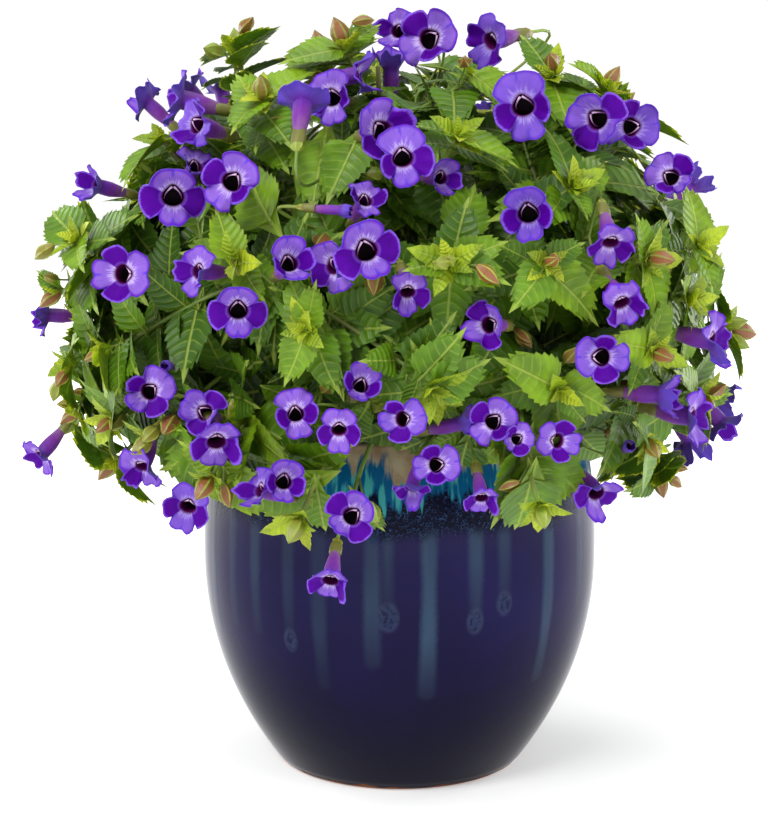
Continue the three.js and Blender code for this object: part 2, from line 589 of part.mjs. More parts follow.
// A rod along a line. At each node it is a short drum, and what branches off there grows out of the
// drum's side that faces it best. It starts at a root ring or a flat end, and finish closes it.
function growRod(surface, { line, radii, sides, root, outOf, firstSide, nodes = [], finish, into = null }) {
  const total = lengthOf(line);
  const drums = nodes.map((node) => {
    const middle = THREE.MathUtils.clamp(node.at, NODE_LENGTH, total - NODE_LENGTH / 2);
    return { ...node, from: middle - NODE_LENGTH / 2, to: middle + NODE_LENGTH / 2 };
  }).sort((a, b) => a.from - b.from);
  const corners = line.map((p, i) => lengthOf(line.slice(0, i + 1)));
  const isFree = (s) => drums.every((drum) => s < drum.from - NODE_LENGTH || s > drum.to + NODE_LENGTH);
  const drumEnds = drums.flatMap(({ from, to }) => [from, to]);
  const stations = [...new Set([0, ...corners.filter(isFree), ...drumEnds])].sort((a, b) => a - b);
  if (stations[stations.length - 1] < total - NODE_LENGTH) stations.push(total);

  let before = alongLine(line, 0).ahead;
  let side = squareTo(firstSide, before);
  const rings = stations.map((s) => {
    const back = outOf && s < 0.5 ? outOf : alongLine(line, Math.max(0, s - 0.5)).ahead;
    const on = into && s > total - 0.5 ? into : alongLine(line, Math.min(total, s + 0.5)).ahead;
    const ahead = back.clone().add(on).normalize();
    side = side.clone().applyQuaternion(new THREE.Quaternion().setFromUnitVectors(before, ahead));
    before = ahead;
    const drum = drums.find(({ from, to }) => s === from || s === to);
    if (drum && drum.faces) side = turnedToFace(side, ahead, drum.faces, sides);
    const radius = lerp(radii[0], radii[1], s / total);
    return surface.ring(ringAround(alongLine(line, s).point, side, ahead.clone().cross(side), radius, sides));
  });

  if (root) surface.bridge(root, rings[0]);
  else surface.cap(rings[0], false);
  rings.slice(1).forEach((ring, i) => {
    const drum = drums.find(({ from }) => Math.abs(from - stations[i]) < 1e-6);
    if (drum) surface.branch(rings[i], ring, drum.branches);
    else surface.bridge(rings[i], ring);
  });
  finish(surface, rings[rings.length - 1], side, before);
}
const endFlat = (surface, ring) => surface.cap(ring, true);
// The direction of a rod's first corner, turned the least that makes one side face a direction.
function turnedToFace(side, ahead, direction, sides) {
  const flat = squareTo(direction, ahead);
  const turnTo = (k) => flat.clone().applyAxisAngle(ahead, ((k + 0.5) / sides) * 2 * Math.PI);
  const turns = Array.from({ length: sides }, (_, k) => turnTo(k));
  return turns.reduce((best, turn) => (turn.dot(side) > best.dot(side) ? turn : best));
}

// The pot and its soil.

const point2 = (radius, z) => new THREE.Vector2(radius, z);
const turned = (profile, sides) => solidOf(new THREE.LatheGeometry(profile, sides).rotateX(Math.PI / 2));
const hole = (radius, depth, x, y, z, sides) => solidOf(
  new THREE.CylinderGeometry(radius, radius, depth, sides).rotateX(Math.PI / 2).translate(x, y, z),
);
const OUTSIDE_LEVELS = [22, 58, 98, 142, 184, 206];
const INSIDE_LEVELS = [POT.floor, 55, 110, 160, 196];

function makePot() {
  const { height, floor, footRadius, lipRadius, wall, drains, drainRadius, drainCircle } = POT;
  const bevel = 4;
  const profile = [
    point2(0, 0), point2(footRadius - 1, 0), point2(potRadius(bevel), bevel),
    ...OUTSIDE_LEVELS.map((z) => point2(potRadius(z), z)),
    point2(lipRadius, height - bevel), point2(lipRadius - wall / 2, height),
    point2(lipRadius - wall, height - bevel),
    ...[...INSIDE_LEVELS].reverse().map((z) => point2(insideRadius(z), z)), point2(0, floor),
  ];
  return Array.from({ length: drains }, (_, i) => (i / drains) * 2 * Math.PI).reduce((body, angle) => {
    const [x, y] = [drainCircle * Math.cos(angle), drainCircle * Math.sin(angle)];
    return body.subtract(hole(drainRadius, floor * 3, x, y, 0, 8));
  }, turned(profile, POT.sides));
}
function makeSoil() {
  const { top, crown, crownRadius, holeDepth } = SOIL;
  const bottom = POT.floor + GAP;
  const profile = [
    point2(0, bottom), ...INSIDE_LEVELS.map((z) => point2(insideRadius(z) - GAP, Math.max(z, bottom))),
    point2(insideRadius(top) - 2, top), point2(crownRadius, crown), point2(0, crown),
  ];
  return stems.reduce((body, { line: [foot] }) => {
    const depth = 2 * (holeDepth + GAP);
    return body.subtract(hole(STEMS.radius + 1, depth, foot.x, foot.y, crown, 6));
  }, turned(profile, POT.sides));
}

// Blooms: a tube that swells out of the calyx into a mouth with four lobes. The lobes turn
// counterclockwise from the right-hand one; reach is out from the mouth and lift is towards the viewer.

const LOBES = [
  { turn: 0, reach: 16.5, lift: 1.5 },
  { turn: 90, reach: 15.5, lift: 2 },
  { turn: 180, reach: 16.5, lift: 1.5 },
  { turn: 270, reach: 16.5, lift: 5 },
];
const LOBE = { halfSpread: 22, notch: 0.7 };

// The corolla on the end of its stalk, whose last ring has one corner on side.
function openBloom(surface, stalkRing, stalkSide, { place, ahead, up, scale, length }) {
  const side = up.clone().cross(ahead);
  const turnOf = (direction) => Math.atan2(direction.dot(up), direction.dot(side));
  const first = ((Math.round(turnOf(stalkSide) / (Math.PI / 2)) % 4) + 4) % 4;
  const lobes = [...LOBES.slice(first), ...LOBES.slice(0, first)];
  const outwards = (turn) => side.clone().applyAxisAngle(ahead, radians(turn));
  const stretch = length / BLOOM.length;
  const around = (radius, back) => surface.ring(
    lobes.map(({ turn }) => step(step(place, ahead, -back * stretch), outwards(turn), radius * scale)),
  );
  const edgePoint = (turn, reach, lift) => step(place, ahead, lift * scale)
    .addScaledVector(outwards(turn), reach * scale);
  const { calyxRadius, throatRadius, throatWall } = BLOOM;
  const rings = [
    stalkRing, around(calyxRadius, 26), around(throatRadius, 6),
    surface.ring(lobes.flatMap(({ turn, reach, lift }) => [
      edgePoint(turn - 45, reach * LOBE.notch, 0),
      edgePoint(turn - LOBE.halfSpread, reach, lift),
      edgePoint(turn + LOBE.halfSpread, reach, lift),
    ])),
    around(throatRadius - throatWall, 3.5),
  ];
  rings.slice(1).forEach((ring, i) => surface.bridge(rings[i], ring));
  surface.point(rings[rings.length - 1], surface.ring([step(place, ahead, -15 * stretch)])[0]);
}

// The first bloom's stalk runs through the meeting point, and the others branch off it there.
function growSprayOn(surface, { blooms, stalks }) {
  const rise = (stalk) => [...stalk].reverse();
  const part = (i, root, line, firstSide, nodes) => growRod(surface, {
    line,
    radii: [BLOOM.stalk, BLOOM.stalk],
    sides: 3,
    root,
    firstSide,
    nodes,
    into: blooms[i].ahead,
    finish: (_, ring, side) => openBloom(surface, ring, side, blooms[i]),
  });
  const branches = blooms.slice(1).map((bloom, k) => {
    const line = rise(stalks[k + 1]);
    const toward = line[1].clone().sub(line[0]).normalize();
    return {
      direction: toward,
      grow: (quad, out) => {
        const corners = quad.map((p) => surface.points[p]);
        const middle = middleOf(corners);
        const start = step(step(middle, out, NODE_OUT.stalk), toward, NODE_OUT.ahead);
        part(k + 1, quad, [start, ...line.slice(1)], corners[0].clone().sub(middle), []);
      },
    };
  });
  part(0, null, rise(stalks[0]), ASKEW, branches.length ? [{ at: 0, branches }] : []);
}

// Blooms that cross each other are made one by one and joined.
function makeSpray({ blooms, stalks, crosses }) {
  const grown = (parts) => {
    const surface = new Surface();
    growSprayOn(surface, { blooms: parts.map((i) => blooms[i]), stalks: parts.map((i) => stalks[i]) });
    return surface;
  };
  const all = blooms.map((_, i) => i);
  const whole = grown(all);
  if (!crosses && !whole.crossings().length) return whole.solid();
  return all.map((i) => grown([i]).solid()).reduce((joined, solid) => joined.add(solid));
}

// Leaves and buds.

// One side of a leaf's toothed edge, as [share of the length, share of the half width].
const LEAF_EDGE = [[0.15, 0.14], [0.33, 1], [0.47, 0.76], [0.58, 0.82], [0.74, 0.42]];

// A leaf may touch its own stem and its twin at its neck, but its blade keeps clear of everything.
const NECK = { from: 0.5, swell: 0.4 };
const BLADE = { from: 4.5, swell: 0.2 };

// A leaf on a ring of four corners: a blade that is thickest at its rib, folds up towards its edges
// and droops to its tip. base is on the axis of what carries it.
function growLeaf(surface, quad, { base, ahead, up, length, droop }, swell = 0) {
  const face = squareTo(up, ahead);
  const side = face.clone().cross(ahead);
  const halfWidth = (length * LEAF.widthShare) / 2 + swell;
  const corner = (share, aside, lift) => surface.ring([step(base, ahead, share * length)
    .addScaledVector(side, aside)
    .addScaledVector(face, lift + LEAF.fold * Math.abs(aside) - droop * length * share * share)])[0];
  const middle = middleOf(quad.map((p) => surface.points[p]));
  // How well the ring's corners match the blade's, when its numbering starts at one of them.
  const fit = (shift) => quad.reduce((sum, p, i) => {
    const turn = radians(45 + 90 * ((i - shift + 4) % 4));
    const wanted = side.clone().multiplyScalar(Math.cos(turn)).addScaledVector(face, Math.sin(turn));
    return sum + surface.points[p].clone().sub(middle).dot(wanted);
  }, 0);
  const shift = [0, 1, 2, 3].reduce((best, k) => (fit(k) > fit(best) ? k : best), 0);
  const [topRight, topLeft, underLeft, underRight] = [0, 1, 2, 3].map((i) => quad[(i + shift) % 4]);
  const firstFace = surface.faces.length;
  const tip = corner(1, 0, 0);
  const [top, under] = [1, -1].map((facing) => corner(0.5, 0, facing * (LEAF.thickness / 2 + swell)));
  const [right, left] = [1, -1].map(
    (way) => LEAF_EDGE.map(([share, width]) => corner(share, way * width * halfWidth, 0)),
  );
  const add = (...corners) => surface.faces.push(corners);
  add(topLeft, top, topRight);
  add(topRight, top, right[0]);
  add(topLeft, left[0], top);
  add(underRight, under, underLeft);
  add(underRight, right[0], under);
  add(underLeft, under, left[0]);
  add(topRight, right[0], underRight);
  add(topLeft, underLeft, left[0]);
  [...right, tip].slice(1).forEach((p, i) => {
    add(top, p, right[i]);
    add(under, right[i], p);
  });
  [...left, tip].slice(1).forEach((p, i) => {
    add(top, left[i], p);
    add(under, p, left[i]);
  });
  return [firstFace, surface.faces.length];
}
// The space that a leaf takes up from a distance along it, swollen all round.
function leafProbe(leaf, { from, swell }) {
  const surface = new Surface();
  const face = squareTo(leaf.up, leaf.ahead);
  const start = step(leaf.base, leaf.ahead, from);
  const quad = surface.ring(ringAround(start, face.clone().cross(leaf.ahead), face, LEAF.neck, 4));
  surface.cap(quad, false);
  growLeaf(surface, quad, { ...leaf, length: leaf.length + 2 * swell }, swell);
  return surface.solid();
}

// A bud: a spindle on the end of its twig.
function endInBud(surface, ring, side, ahead) {
  const foot = middleOf(ring.map((p) => surface.points[p]));
  const up = ahead.clone().cross(side);
  const belly = surface.ring(ringAround(step(foot, ahead, BUD.length * BUD.belly), side, up, BUD.radius, 4));
  surface.bridge(ring, belly);
  surface.point(belly, surface.ring([step(foot, ahead, BUD.length)])[0]);
}

// The space that a bud takes up at the end of a line.
function budProbe({ line }) {
  const surface = new Surface();
  const [end, before] = [line[line.length - 1], line[line.length - 2]];
  const ahead = end.clone().sub(before).normalize();
  const side = squareTo(ASKEW, ahead);
  const up = ahead.clone().cross(side);
  const ring = surface.ring(ringAround(step(end, ahead, NECK.from), side, up, TWIG.radius, TWIG.sides));
  surface.cap(ring, false);
  endInBud(surface, ring, side, ahead);
  return surface.solid();
}

// The nodes of a stem or twig: its leaves, by how far along they sit.
function leafNodes(surface, carrier) {
  const total = lengthOf(carrier.laid);
  const shares = [...new Set(carrier.leaves.map((leaf) => leaf.share))];
  return shares.map((share) => ({
    at: share * total - NODE_LENGTH / 2,
    faces: carrier.leaves.find((leaf) => leaf.share === share).ahead,
    branches: carrier.leaves.filter((leaf) => leaf.share === share).map((leaf) => ({
      direction: leaf.ahead,
      grow: (quad) => {
        leaf.faces = growLeaf(surface, quad, leaf);
      },
    })),
  }));
}
function twigBranch(surface, twig) {
  const leave = twig.line[1].clone().sub(twig.line[0]).normalize();
  return {
    direction: leave,
    grow: (quad, out) => {
      const corners = quad.map((p) => surface.points[p]);
      const middle = middleOf(corners);
      twig.laid = [step(step(middle, out, NODE_OUT.twig), leave, NODE_OUT.ahead), ...twig.line.slice(1)];
      growRod(surface, {
        line: twig.laid,
        radii: [TWIG.radius, TWIG.radius],
        sides: TWIG.sides,
        root: quad,
        outOf: out,
        firstSide: corners[0].clone().sub(middle),
        nodes: leafNodes(surface, twig),
        finish: twig.bud ? endInBud : endFlat,
      });
    },
  };
}
function makeStem(stem) {
  const surface = new Surface();
  const starts = [...new Set(stem.twigs.map((twig) => twig.at))];
  const twigNodes = starts.map((at) => {
    const from = bezier(stem.path, at);
    const total = lengthOf(stem.line);
    const steps = Array.from({ length: 400 }, (_, i) => (i / 400) * total);
    const reach = (s) => alongLine(stem.line, s).point.distanceTo(from);
    return {
      at: steps.reduce((best, s) => (reach(s) < reach(best) ? s : best), 0),
      branches: stem.twigs.filter((twig) => twig.at === at).map((twig) => twigBranch(surface, twig)),
    };
  });
  growRod(surface, {
    line: stem.line,
    radii: [STEMS.radius, STEMS.tipRadius],
    sides: STEMS.sides,
    firstSide: ASKEW,
    nodes: [...twigNodes, ...leafNodes(surface, stem)],
    finish: endFlat,
  });
  return surface;
}

// Everything that is in place, to keep what comes later clear of it.

const placed = [];

function place(solid) {
  const item = { solid, box: solid.boundingBox() };
  placed.push(item);
  return item;
}
function fits(probe, allowed) {
  const box = probe.boundingBox();
  const near = (other) => [0, 1, 2].every((k) => other.min[k] < box.max[k] && other.max[k] > box.min[k]);
  return placed.every(
    (item) => allowed.includes(item) || !near(item.box) || probe.intersect(item.solid).isEmpty(),
  );
}

const pot = makePot();
const soil = makeSoil();
place(pot);
place(soil);
sprays.forEach((spray) => {
  spray.solid = makeSpray(spray);
  place(spray.solid);
});
stems.forEach((stem) => {
  stem.laid = stem.line;
  [stem, ...stem.twigs].forEach((carrier) => Object.assign(carrier, { leaves: [] }));
  const bare = place(makeStem(stem).solid());
  [stem, ...stem.twigs].forEach((carrier) => Object.assign(carrier, { bare }));
});

// Buds close the ends of some of the shoots, where there is room.
shoots.forEach((shoot, i) => {
  const probe = budProbe(shoot);
  shoot.bud = draw(i, 41) < BUD.share && fits(probe, []);
  if (shoot.bud) place(probe);
});

// Leaves grow in pairs at the ends of the shoots and stems first, then further back along them.
function leafPair(carrier, share, item) {
  const [upright, forward, sink] = [0.4, 0.3, 0.2];
  const { point, ahead } = alongLine(carrier.laid, share * lengthOf(carrier.laid) - NODE_LENGTH / 2);
  const face = step(moundOut(point), UP, upright)
    .add(V(draw(item, 31) - 0.5, draw(item, 32) - 0.5, draw(item, 33) - 0.5)).normalize();
  const level = UP.clone().cross(face).normalize();
  const rise = face.clone().cross(level);
  const heading = between(0, Math.PI, item, 34);
  return [0, Math.PI].map((half, side) => {
    const spread = level.clone().multiplyScalar(Math.cos(heading + half))
      .addScaledVector(rise, Math.sin(heading + half)).addScaledVector(UP, -sink);
    return {
      base: point,
      ahead: squareTo(spread, ahead).addScaledVector(ahead, forward).normalize(),
      up: face,
      length: between(LEAF.shortest, LEAF.longest, item * 2 + side, 35),
      droop: between(...LEAF.droops, item * 2 + side, 36),
      carrier,
      share,
    };
  });
}
const sprayTwigs = sprays.map(({ twig }) => twig);
const PAIRS = [
  [shoots, 1], [stems, 1], [sprayTwigs, 0.8], [shoots, 0.7], [stems, 0.93], [sprayTwigs, 0.5], [shoots, 0.42],
];
const leafSlots = PAIRS.flatMap(([carriers, share], level) => carriers.flatMap(
  (carrier, i) => leafPair(carrier, share, level * 100 + i),
));
let leafCount = 0;
leafSlots.forEach((leaf, i) => {
  const twin = leafSlots[i % 2 ? i - 1 : i + 1].item;
  if (leafCount >= LEAF.most || !fits(leafProbe(leaf, NECK), [leaf.carrier.bare, twin])) return;
  if (!fits(leafProbe(leaf, BLADE), [])) return;
  leaf.item = place(leafProbe(leaf, { ...NECK, swell: 0 }));
  leaf.carrier.leaves.push(leaf);
  leafCount += 1;
});

// The stem with its leaves, less those that would cross a neighbour on the same stem.
function settleStem(stem) {
  const surface = makeStem(stem);
  const crossing = surface.crossings();
  if (!crossing.length) return surface.solid();
  const isClear = ({ faces: [first, end] }) => !crossing.some((i) => i >= first && i < end);
  const carriers = [stem, ...stem.twigs];
  const count = () => carriers.reduce((sum, carrier) => sum + carrier.leaves.length, 0);
  const before = count();
  carriers.forEach((carrier) => Object.assign(carrier, { leaves: carrier.leaves.filter(isClear) }));
  if (count() === before) throw new Error(`stem ${stems.indexOf(stem)} crosses itself`);
  return settleStem(stem);
}

const finishes = {
  glaze: new THREE.MeshStandardMaterial({ color: 0x191a63, roughness: 0.12 }),
  soil: new THREE.MeshStandardMaterial({ color: 0x2c2018, roughness: 0.95 }),
  foliage: new THREE.MeshStandardMaterial({ color: 0x4e8226, roughness: 0.5 }),
  petals: new THREE.MeshStandardMaterial({ color: 0x5b25b8, roughness: 0.6 }),
};
const group = new THREE.Group();
function addNode(name, solid, material) {
  const mesh = new THREE.Mesh(geometryOf(solid), material);
  mesh.name = name;
  group.add(mesh);
}
const numbered = (name, i) => `${name}_${String(i + 1).padStart(2, '0')}`;
addNode('glazed_pot', pot, finishes.glaze);
addNode('potting_soil', soil, finishes.soil);
stems.forEach((stem, i) => addNode(numbered('leafy_stem', i), settleStem(stem), finishes.foliage));
sprays.forEach(({ solid }, i) => addNode(numbered('bloom_spray', i), solid, finishes.petals));

export default group;
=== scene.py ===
"""A wishbone flower (torenia) in full bloom, planted in a glazed ceramic pot.

Sizes are millimetres while the plant is laid out, and metres in the meshes. +Z is up, -Y is the
front, and the origin is the centre of the pot's foot. The layout repeats the one of the solids, so
every stem, twig and bloom of the solids has its finer likeness here, in the same place.
"""
import logging
import math
from contextlib import contextmanager
from dataclasses import dataclass, field
from enum import Enum
from typing import Iterator, Sequence

import bpy
import numpy as np
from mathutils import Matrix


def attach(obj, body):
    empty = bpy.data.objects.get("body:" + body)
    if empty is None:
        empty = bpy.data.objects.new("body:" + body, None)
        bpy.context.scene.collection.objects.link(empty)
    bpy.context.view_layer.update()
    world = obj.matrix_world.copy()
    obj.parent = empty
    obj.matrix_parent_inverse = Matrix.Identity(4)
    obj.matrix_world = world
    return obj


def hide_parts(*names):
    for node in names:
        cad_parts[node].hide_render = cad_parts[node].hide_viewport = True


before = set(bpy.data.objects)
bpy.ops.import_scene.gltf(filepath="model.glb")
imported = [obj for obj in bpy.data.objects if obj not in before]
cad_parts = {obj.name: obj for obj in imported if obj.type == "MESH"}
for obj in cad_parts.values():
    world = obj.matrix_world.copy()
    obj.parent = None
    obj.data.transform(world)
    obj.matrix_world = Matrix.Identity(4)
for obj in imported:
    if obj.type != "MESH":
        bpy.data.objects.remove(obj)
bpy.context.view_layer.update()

LOG = logging.getLogger("wishbone_flower")
Vec = np.ndarray
Thing = bpy.types.Object
Material = bpy.types.Material

MM = 0.001
GOLDEN_ANGLE = math.pi * (3 - math.sqrt(5))
GOLDEN_SHARE = (math.sqrt(5) - 1) / 2
UP = np.array([0.0, 0.0, 1.0])
RIGHT = np.array([1.0, 0.0, 0.0])
# A direction that no rod runs along, to start its corners from.
ASKEW = np.array([0.91, 0.38, 0.17])


# Draws, vectors and curves.

def draw(item: float, purpose: float) -> float:
    """A number between 0 and 1 that depends on nothing but its two seeds."""
    wave = math.sin(item * 127.1 + purpose * 311.7 + 17.3) * 43758.5453
    return wave - math.floor(wave)


def lerp(low: float, high: float, share: float) -> float:
    """The value at a share of the way from low to high."""
    return (1 - share) * low + share * high


def between(low: float, high: float, item: float, purpose: float) -> float:
    """A draw between two values."""
    return lerp(low, high, draw(item, purpose))


def stray(item: float, purpose: int) -> Vec:
    """A drawn offset of up to a half each way, from a purpose and the two after it."""
    return np.array([draw(item, purpose + k) - 0.5 for k in range(3)])


def unit(direction: Vec) -> Vec:
    """The direction at length 1."""
    return direction / np.linalg.norm(direction)


def square_to(direction: Vec, ahead: Vec) -> Vec:
    """The part of a direction that is square to the way ahead, at length 1."""
    return unit(direction - ahead * direction.dot(ahead))


def toward(first: Vec, second: Vec, turn: float) -> Vec:
    """The direction at a turn from the first of two square directions to the second."""
    return first * math.cos(turn) + second * math.sin(turn)


def bezier(points: Sequence[Vec], t: float) -> Vec:
    """The point at a share of a Bezier curve."""
    closer = [a + (b - a) * t for a, b in zip(points, points[1:])]
    return bezier(closer, t) if closer else points[0]


def sample_path(points: Sequence[Vec], count: int) -> list[Vec]:
    """Evenly spaced points of a Bezier curve, both ends included."""
    return [bezier(points, i / count) for i in range(count + 1)]


def length_of(line: Sequence[Vec]) -> float:
    """The length of a line of points."""
    return float(sum(np.linalg.norm(b - a) for a, b in zip(line, line[1:])))


def along_line(line: Sequence[Vec], distance: float) -> tuple[Vec, Vec]:
    """Walks along a line of points.

    Args:
        line: the points.
        distance: how far to walk from the first one.

    Returns:
        The point there, and the way ahead.
    """
    left = distance
    for i in range(1, len(line)):
        length = float(np.linalg.norm(line[i] - line[i - 1]))
        if left <= length or i == len(line) - 1:
            ahead = (line[i] - line[i - 1]) / length
            return line[i - 1] + ahead * left, ahead
        left -= length
    raise ValueError("a line needs two points")


def segment_distances(a0: Vec, a1: Vec, b0: Vec, b1: Vec) -> Vec:
    """How far one segment lies from many others.

    Args:
        a0: the start of the segment.
        a1: its end.
        b0: the starts of the others.
        b1: their ends.

    Returns:
        The shortest distances.
    """
    along_a, along_b, apart = a1 - a0, b1 - b0, a0 - b0
    aa, ab, bb = along_a.dot(along_a), along_b @ along_a, (along_b ** 2).sum(1)
    pa, pb = apart @ along_a, (apart * along_b).sum(1)
    cross = aa * bb - ab * ab
    skew = cross > 1e-9
    s = np.where(skew, np.clip((ab * pb - pa * bb) / np.where(skew, cross, 1), 0, 1), 0)
    t = np.clip((ab * s + pb) / bb, 0, 1)
    s = np.clip((ab * t - pa) / aa, 0, 1)
    return np.linalg.norm((a0 + s[:, None] * along_a) - (b0 + t[:, None] * along_b), axis=1)


# The pot's and the plant's shapes.

@dataclass(frozen=True)
class PotForm:
    """The turned form of the pot and the soil in it."""

    height: float = 220
    belly_radius: float = 125
    belly_height: float = 138
    foot_radius: float = 78
    lip_radius: float = 115
    swell: float = 2.2
    wall: float = 10
    floor: float = 14
    drains: int = 3
    drain_radius: float = 6
    drain_circle: float = 36
    soil_top: float = 205
    soil_crown: float = 208
    hole_depth: float = 14

    def radius(self, z: float) -> float:
        """The outside radius at a height.

        Args:
            z: the height.

        Returns:
            The radius.
        """
        low = z < self.belly_height
        span = self.belly_height if low else self.height - self.belly_height
        narrowing = self.belly_radius - (self.foot_radius if low else self.lip_radius)
        return self.belly_radius - narrowing * (abs(z - self.belly_height) / span) ** self.swell

    def inside(self, z: float) -> float:
        """The inside radius at a height."""
        return self.radius(z) - self.wall


@dataclass(frozen=True)
class Mound:
    """The rounded outline that the plant fills."""

    centre: float = 300
    radius: float = 212
    up: float = 165
    down: float = 165
    upper_power: float = 2
    lower_power: float = 3

    def rise(self, z: float) -> tuple[float, float]:
        """How far up or down a height is, as a share of that half, and the power that shapes it."""
        rise = z - self.centre
        return (rise / self.up, self.upper_power) if rise > 0 else (-rise / self.down, self.lower_power)

    def share(self, p: Vec) -> float:
        """Below 1 inside the mound, and above 1 outside it."""
        rise, power = self.rise(p[2])
        return math.pow(math.hypot(p[0], p[1]) / self.radius, power) + math.pow(rise, power)

    def point(self, z: float, angle: float, share: float) -> Vec:
        """A point of the mound.

        Args:
            z: the height at which its surface is meant.
            angle: the angle round the pot.
            share: how deep it lies, as a share of the mound's own size.

        Returns:
            The point.
        """
        rise, power = self.rise(z)
        reach = self.radius * share * math.pow(max(0.0, 1 - math.pow(rise, power)), 1 / power)
        return np.array([reach * math.cos(angle), reach * math.sin(angle), lerp(self.centre, z, share)])

    def out(self, p: Vec) -> Vec:
        """The direction that leads straight out of the mound at a point."""
        tall = (self.up if p[2] > self.centre else self.down) ** 2
        return unit(np.array([p[0], p[1], (p[2] - self.centre) * self.radius ** 2 / tall]))


POT = PotForm()
MOUND = Mound()


@dataclass(frozen=True)
class Sight:
    """The picture's sight lines: a pixel and the mound's surface give a place."""

    eye: tuple[float, float, float] = (-9.9, -1050, 365)
    pitch: float = math.radians(8)
    focal_pixels: float = 1663
    centre: tuple[float, float] = (384, 419)
    span: tuple[int, int, int] = (750, 1300, 2)

    @property
    def ahead(self) -> Vec:
        """The way that the camera looks."""
        return np.array([0, math.cos(self.pitch), -math.sin(self.pitch)])

    @property
    def up(self) -> Vec:
        """The camera's own up."""
        return np.cross(RIGHT, self.ahead)

    def pixel(self, point: Vec) -> tuple[float, float]:
        """Finds where the picture shows a point.

        Args:
            point: the point.

        Returns:
            Pixels from the left and from the top.
        """
        offset = point - np.array(self.eye)
        depth = offset.dot(self.ahead) / self.focal_pixels
        return self.centre[0] + offset[0] / depth, self.centre[1] - offset.dot(self.up) / depth

    def on_mound(self, across: float, down: float, depth: float) -> tuple[Vec, Vec]:
        """Finds where the line of sight through a pixel first meets the mound, or passes it closest.

        Args:
            across: the pixel's distance from the picture's left edge.
            down: the pixel's distance from its top edge.
            depth: the share of the mound's own size at which the mound is met.

        Returns:
            The point, and the direction of the line of sight.
        """
        sight = unit(self.ahead + RIGHT * ((across - self.centre[0]) / self.focal_pixels)
                     + self.up * ((self.centre[1] - down) / self.focal_pixels))
        middle = np.array([0, 0, MOUND.centre])
        best: tuple[float, Vec] | None = None
        for distance in range(*self.span):
            point = np.array(self.eye) + sight * distance
            share = MOUND.share((point - middle) / depth + middle)
            if best is None or share < best[0]:
                best = (share, point)
            if share < 1:
                break
        return best[1], sight


SIGHT = Sight()


@dataclass(eq=False)
class Bloom:
    """One open bloom: the middle of its mouth, the way it faces and its upper lip's direction."""

    place: Vec
    ahead: Vec
    up: Vec
    width: float
    number: int = 0
    stalk: list[Vec] = field(default_factory=list)

    FULL_WIDTH = 33
    FULL_LENGTH = 37
    MOUTH_DEPTH = 5.5
    THROAT = 6.6
    CALYX = 3.9
    RING = np.arange(12) * math.pi / 6

    @property
    def scale(self) -> float:
        """The bloom's size as a share of a full-grown one."""
        return self.width / self.FULL_WIDTH

    @property
    def length(self) -> float:
        """From the mouth back to the foot of the calyx."""
        return self.FULL_LENGTH * lerp(0.4, 1, min(1.0, self.scale))

    @property
    def foot(self) -> Vec:
        """Where the calyx sits on its stalk."""
        return self.place - self.ahead * self.length

    @property
    def side(self) -> Vec:
        """The bloom's own right."""
        return np.cross(self.up, self.ahead)

    @classmethod
    def facing(cls, place: Vec, ahead: Vec, upward: Vec, roll: float, width: float) -> "Bloom":
        """A bloom whose upper lip is rolled clockwise from a direction."""
        top = square_to(upward, ahead)
        return cls(place, ahead, toward(top, np.cross(top, ahead), roll), width)

    @classmethod
    def seen(cls, across: float, down: float, turn: float, lift: float, roll: float, width: float,
             depth: float) -> "Bloom":
        """A bloom of the picture.

        Args:
            across: pixel of its mouth, from the left.
            down: pixel of its mouth, from the top.
            turn: degrees turned to the right.
            lift: degrees lifted.
            roll: degrees rolled clockwise.
            width: width of the mouth in mm.
            depth: share of the mound's own depth at which it sits.

        Returns:
            The bloom.
        """
        point, sight = SIGHT.on_mound(across, down, depth)
        turn, lift = math.radians(turn), math.radians(lift)
        ahead = unit(sight * (-math.cos(turn) * math.cos(lift)) + RIGHT * (math.sin(turn) * math.cos(lift))
                     + SIGHT.up * math.sin(lift))
        return cls.facing(point, ahead, SIGHT.up, math.radians(roll), width)

    def moved(self, way: Vec, distance: float) -> "Bloom":
        """The same bloom, a distance further along a way."""
        return Bloom(self.place + way * distance, self.ahead, self.up, self.width)

    def ring(self, radius: float, lift: float) -> Vec:
        """A ring of points round the bloom's axis."""
        return (self.place + self.ahead * lift
                + radius * (np.cos(self.RING)[:, None] * self.side + np.sin(self.RING)[:, None] * self.up))

    def samples(self) -> Vec:
        """Samples the bloom's outside.

        Returns:
            Points all over it.
        """
        rims = [self.ring(self.width / 2, 2.5 * self.scale), self.ring(self.width / 3, 1)]
        tube = [self.ring(lerp(6, 2, share) * self.scale, -share * self.length)
                for share in (0.25, 0.5, 0.75, 1)]
        return np.concatenate([*rims, *tube])

    def holds(self, points: Vec, margin: float = 1) -> bool:
        """Tests points against the bloom.

        Args:
            points: the points.
            margin: how close they may come, in mm.

        Returns:
            Whether any of them lies within it.
        """
        offset = points - self.place
        forward = offset @ self.ahead
        aside = np.linalg.norm(offset - forward[:, None] * self.ahead, axis=1)
        mouth = ((np.abs(forward - 1) < self.MOUTH_DEPTH * self.scale + margin)
                 & (aside < self.width / 2 + margin))
        tube = ((forward < 0) & (forward > -self.length - margin)
                & (aside < self.THROAT * self.scale + margin))
        return bool((mouth | tube).any())

    def crosses(self, other: "Bloom") -> bool:
        """Whether two blooms would grow through each other."""
        return other.holds(self.samples()) or self.holds(other.samples())


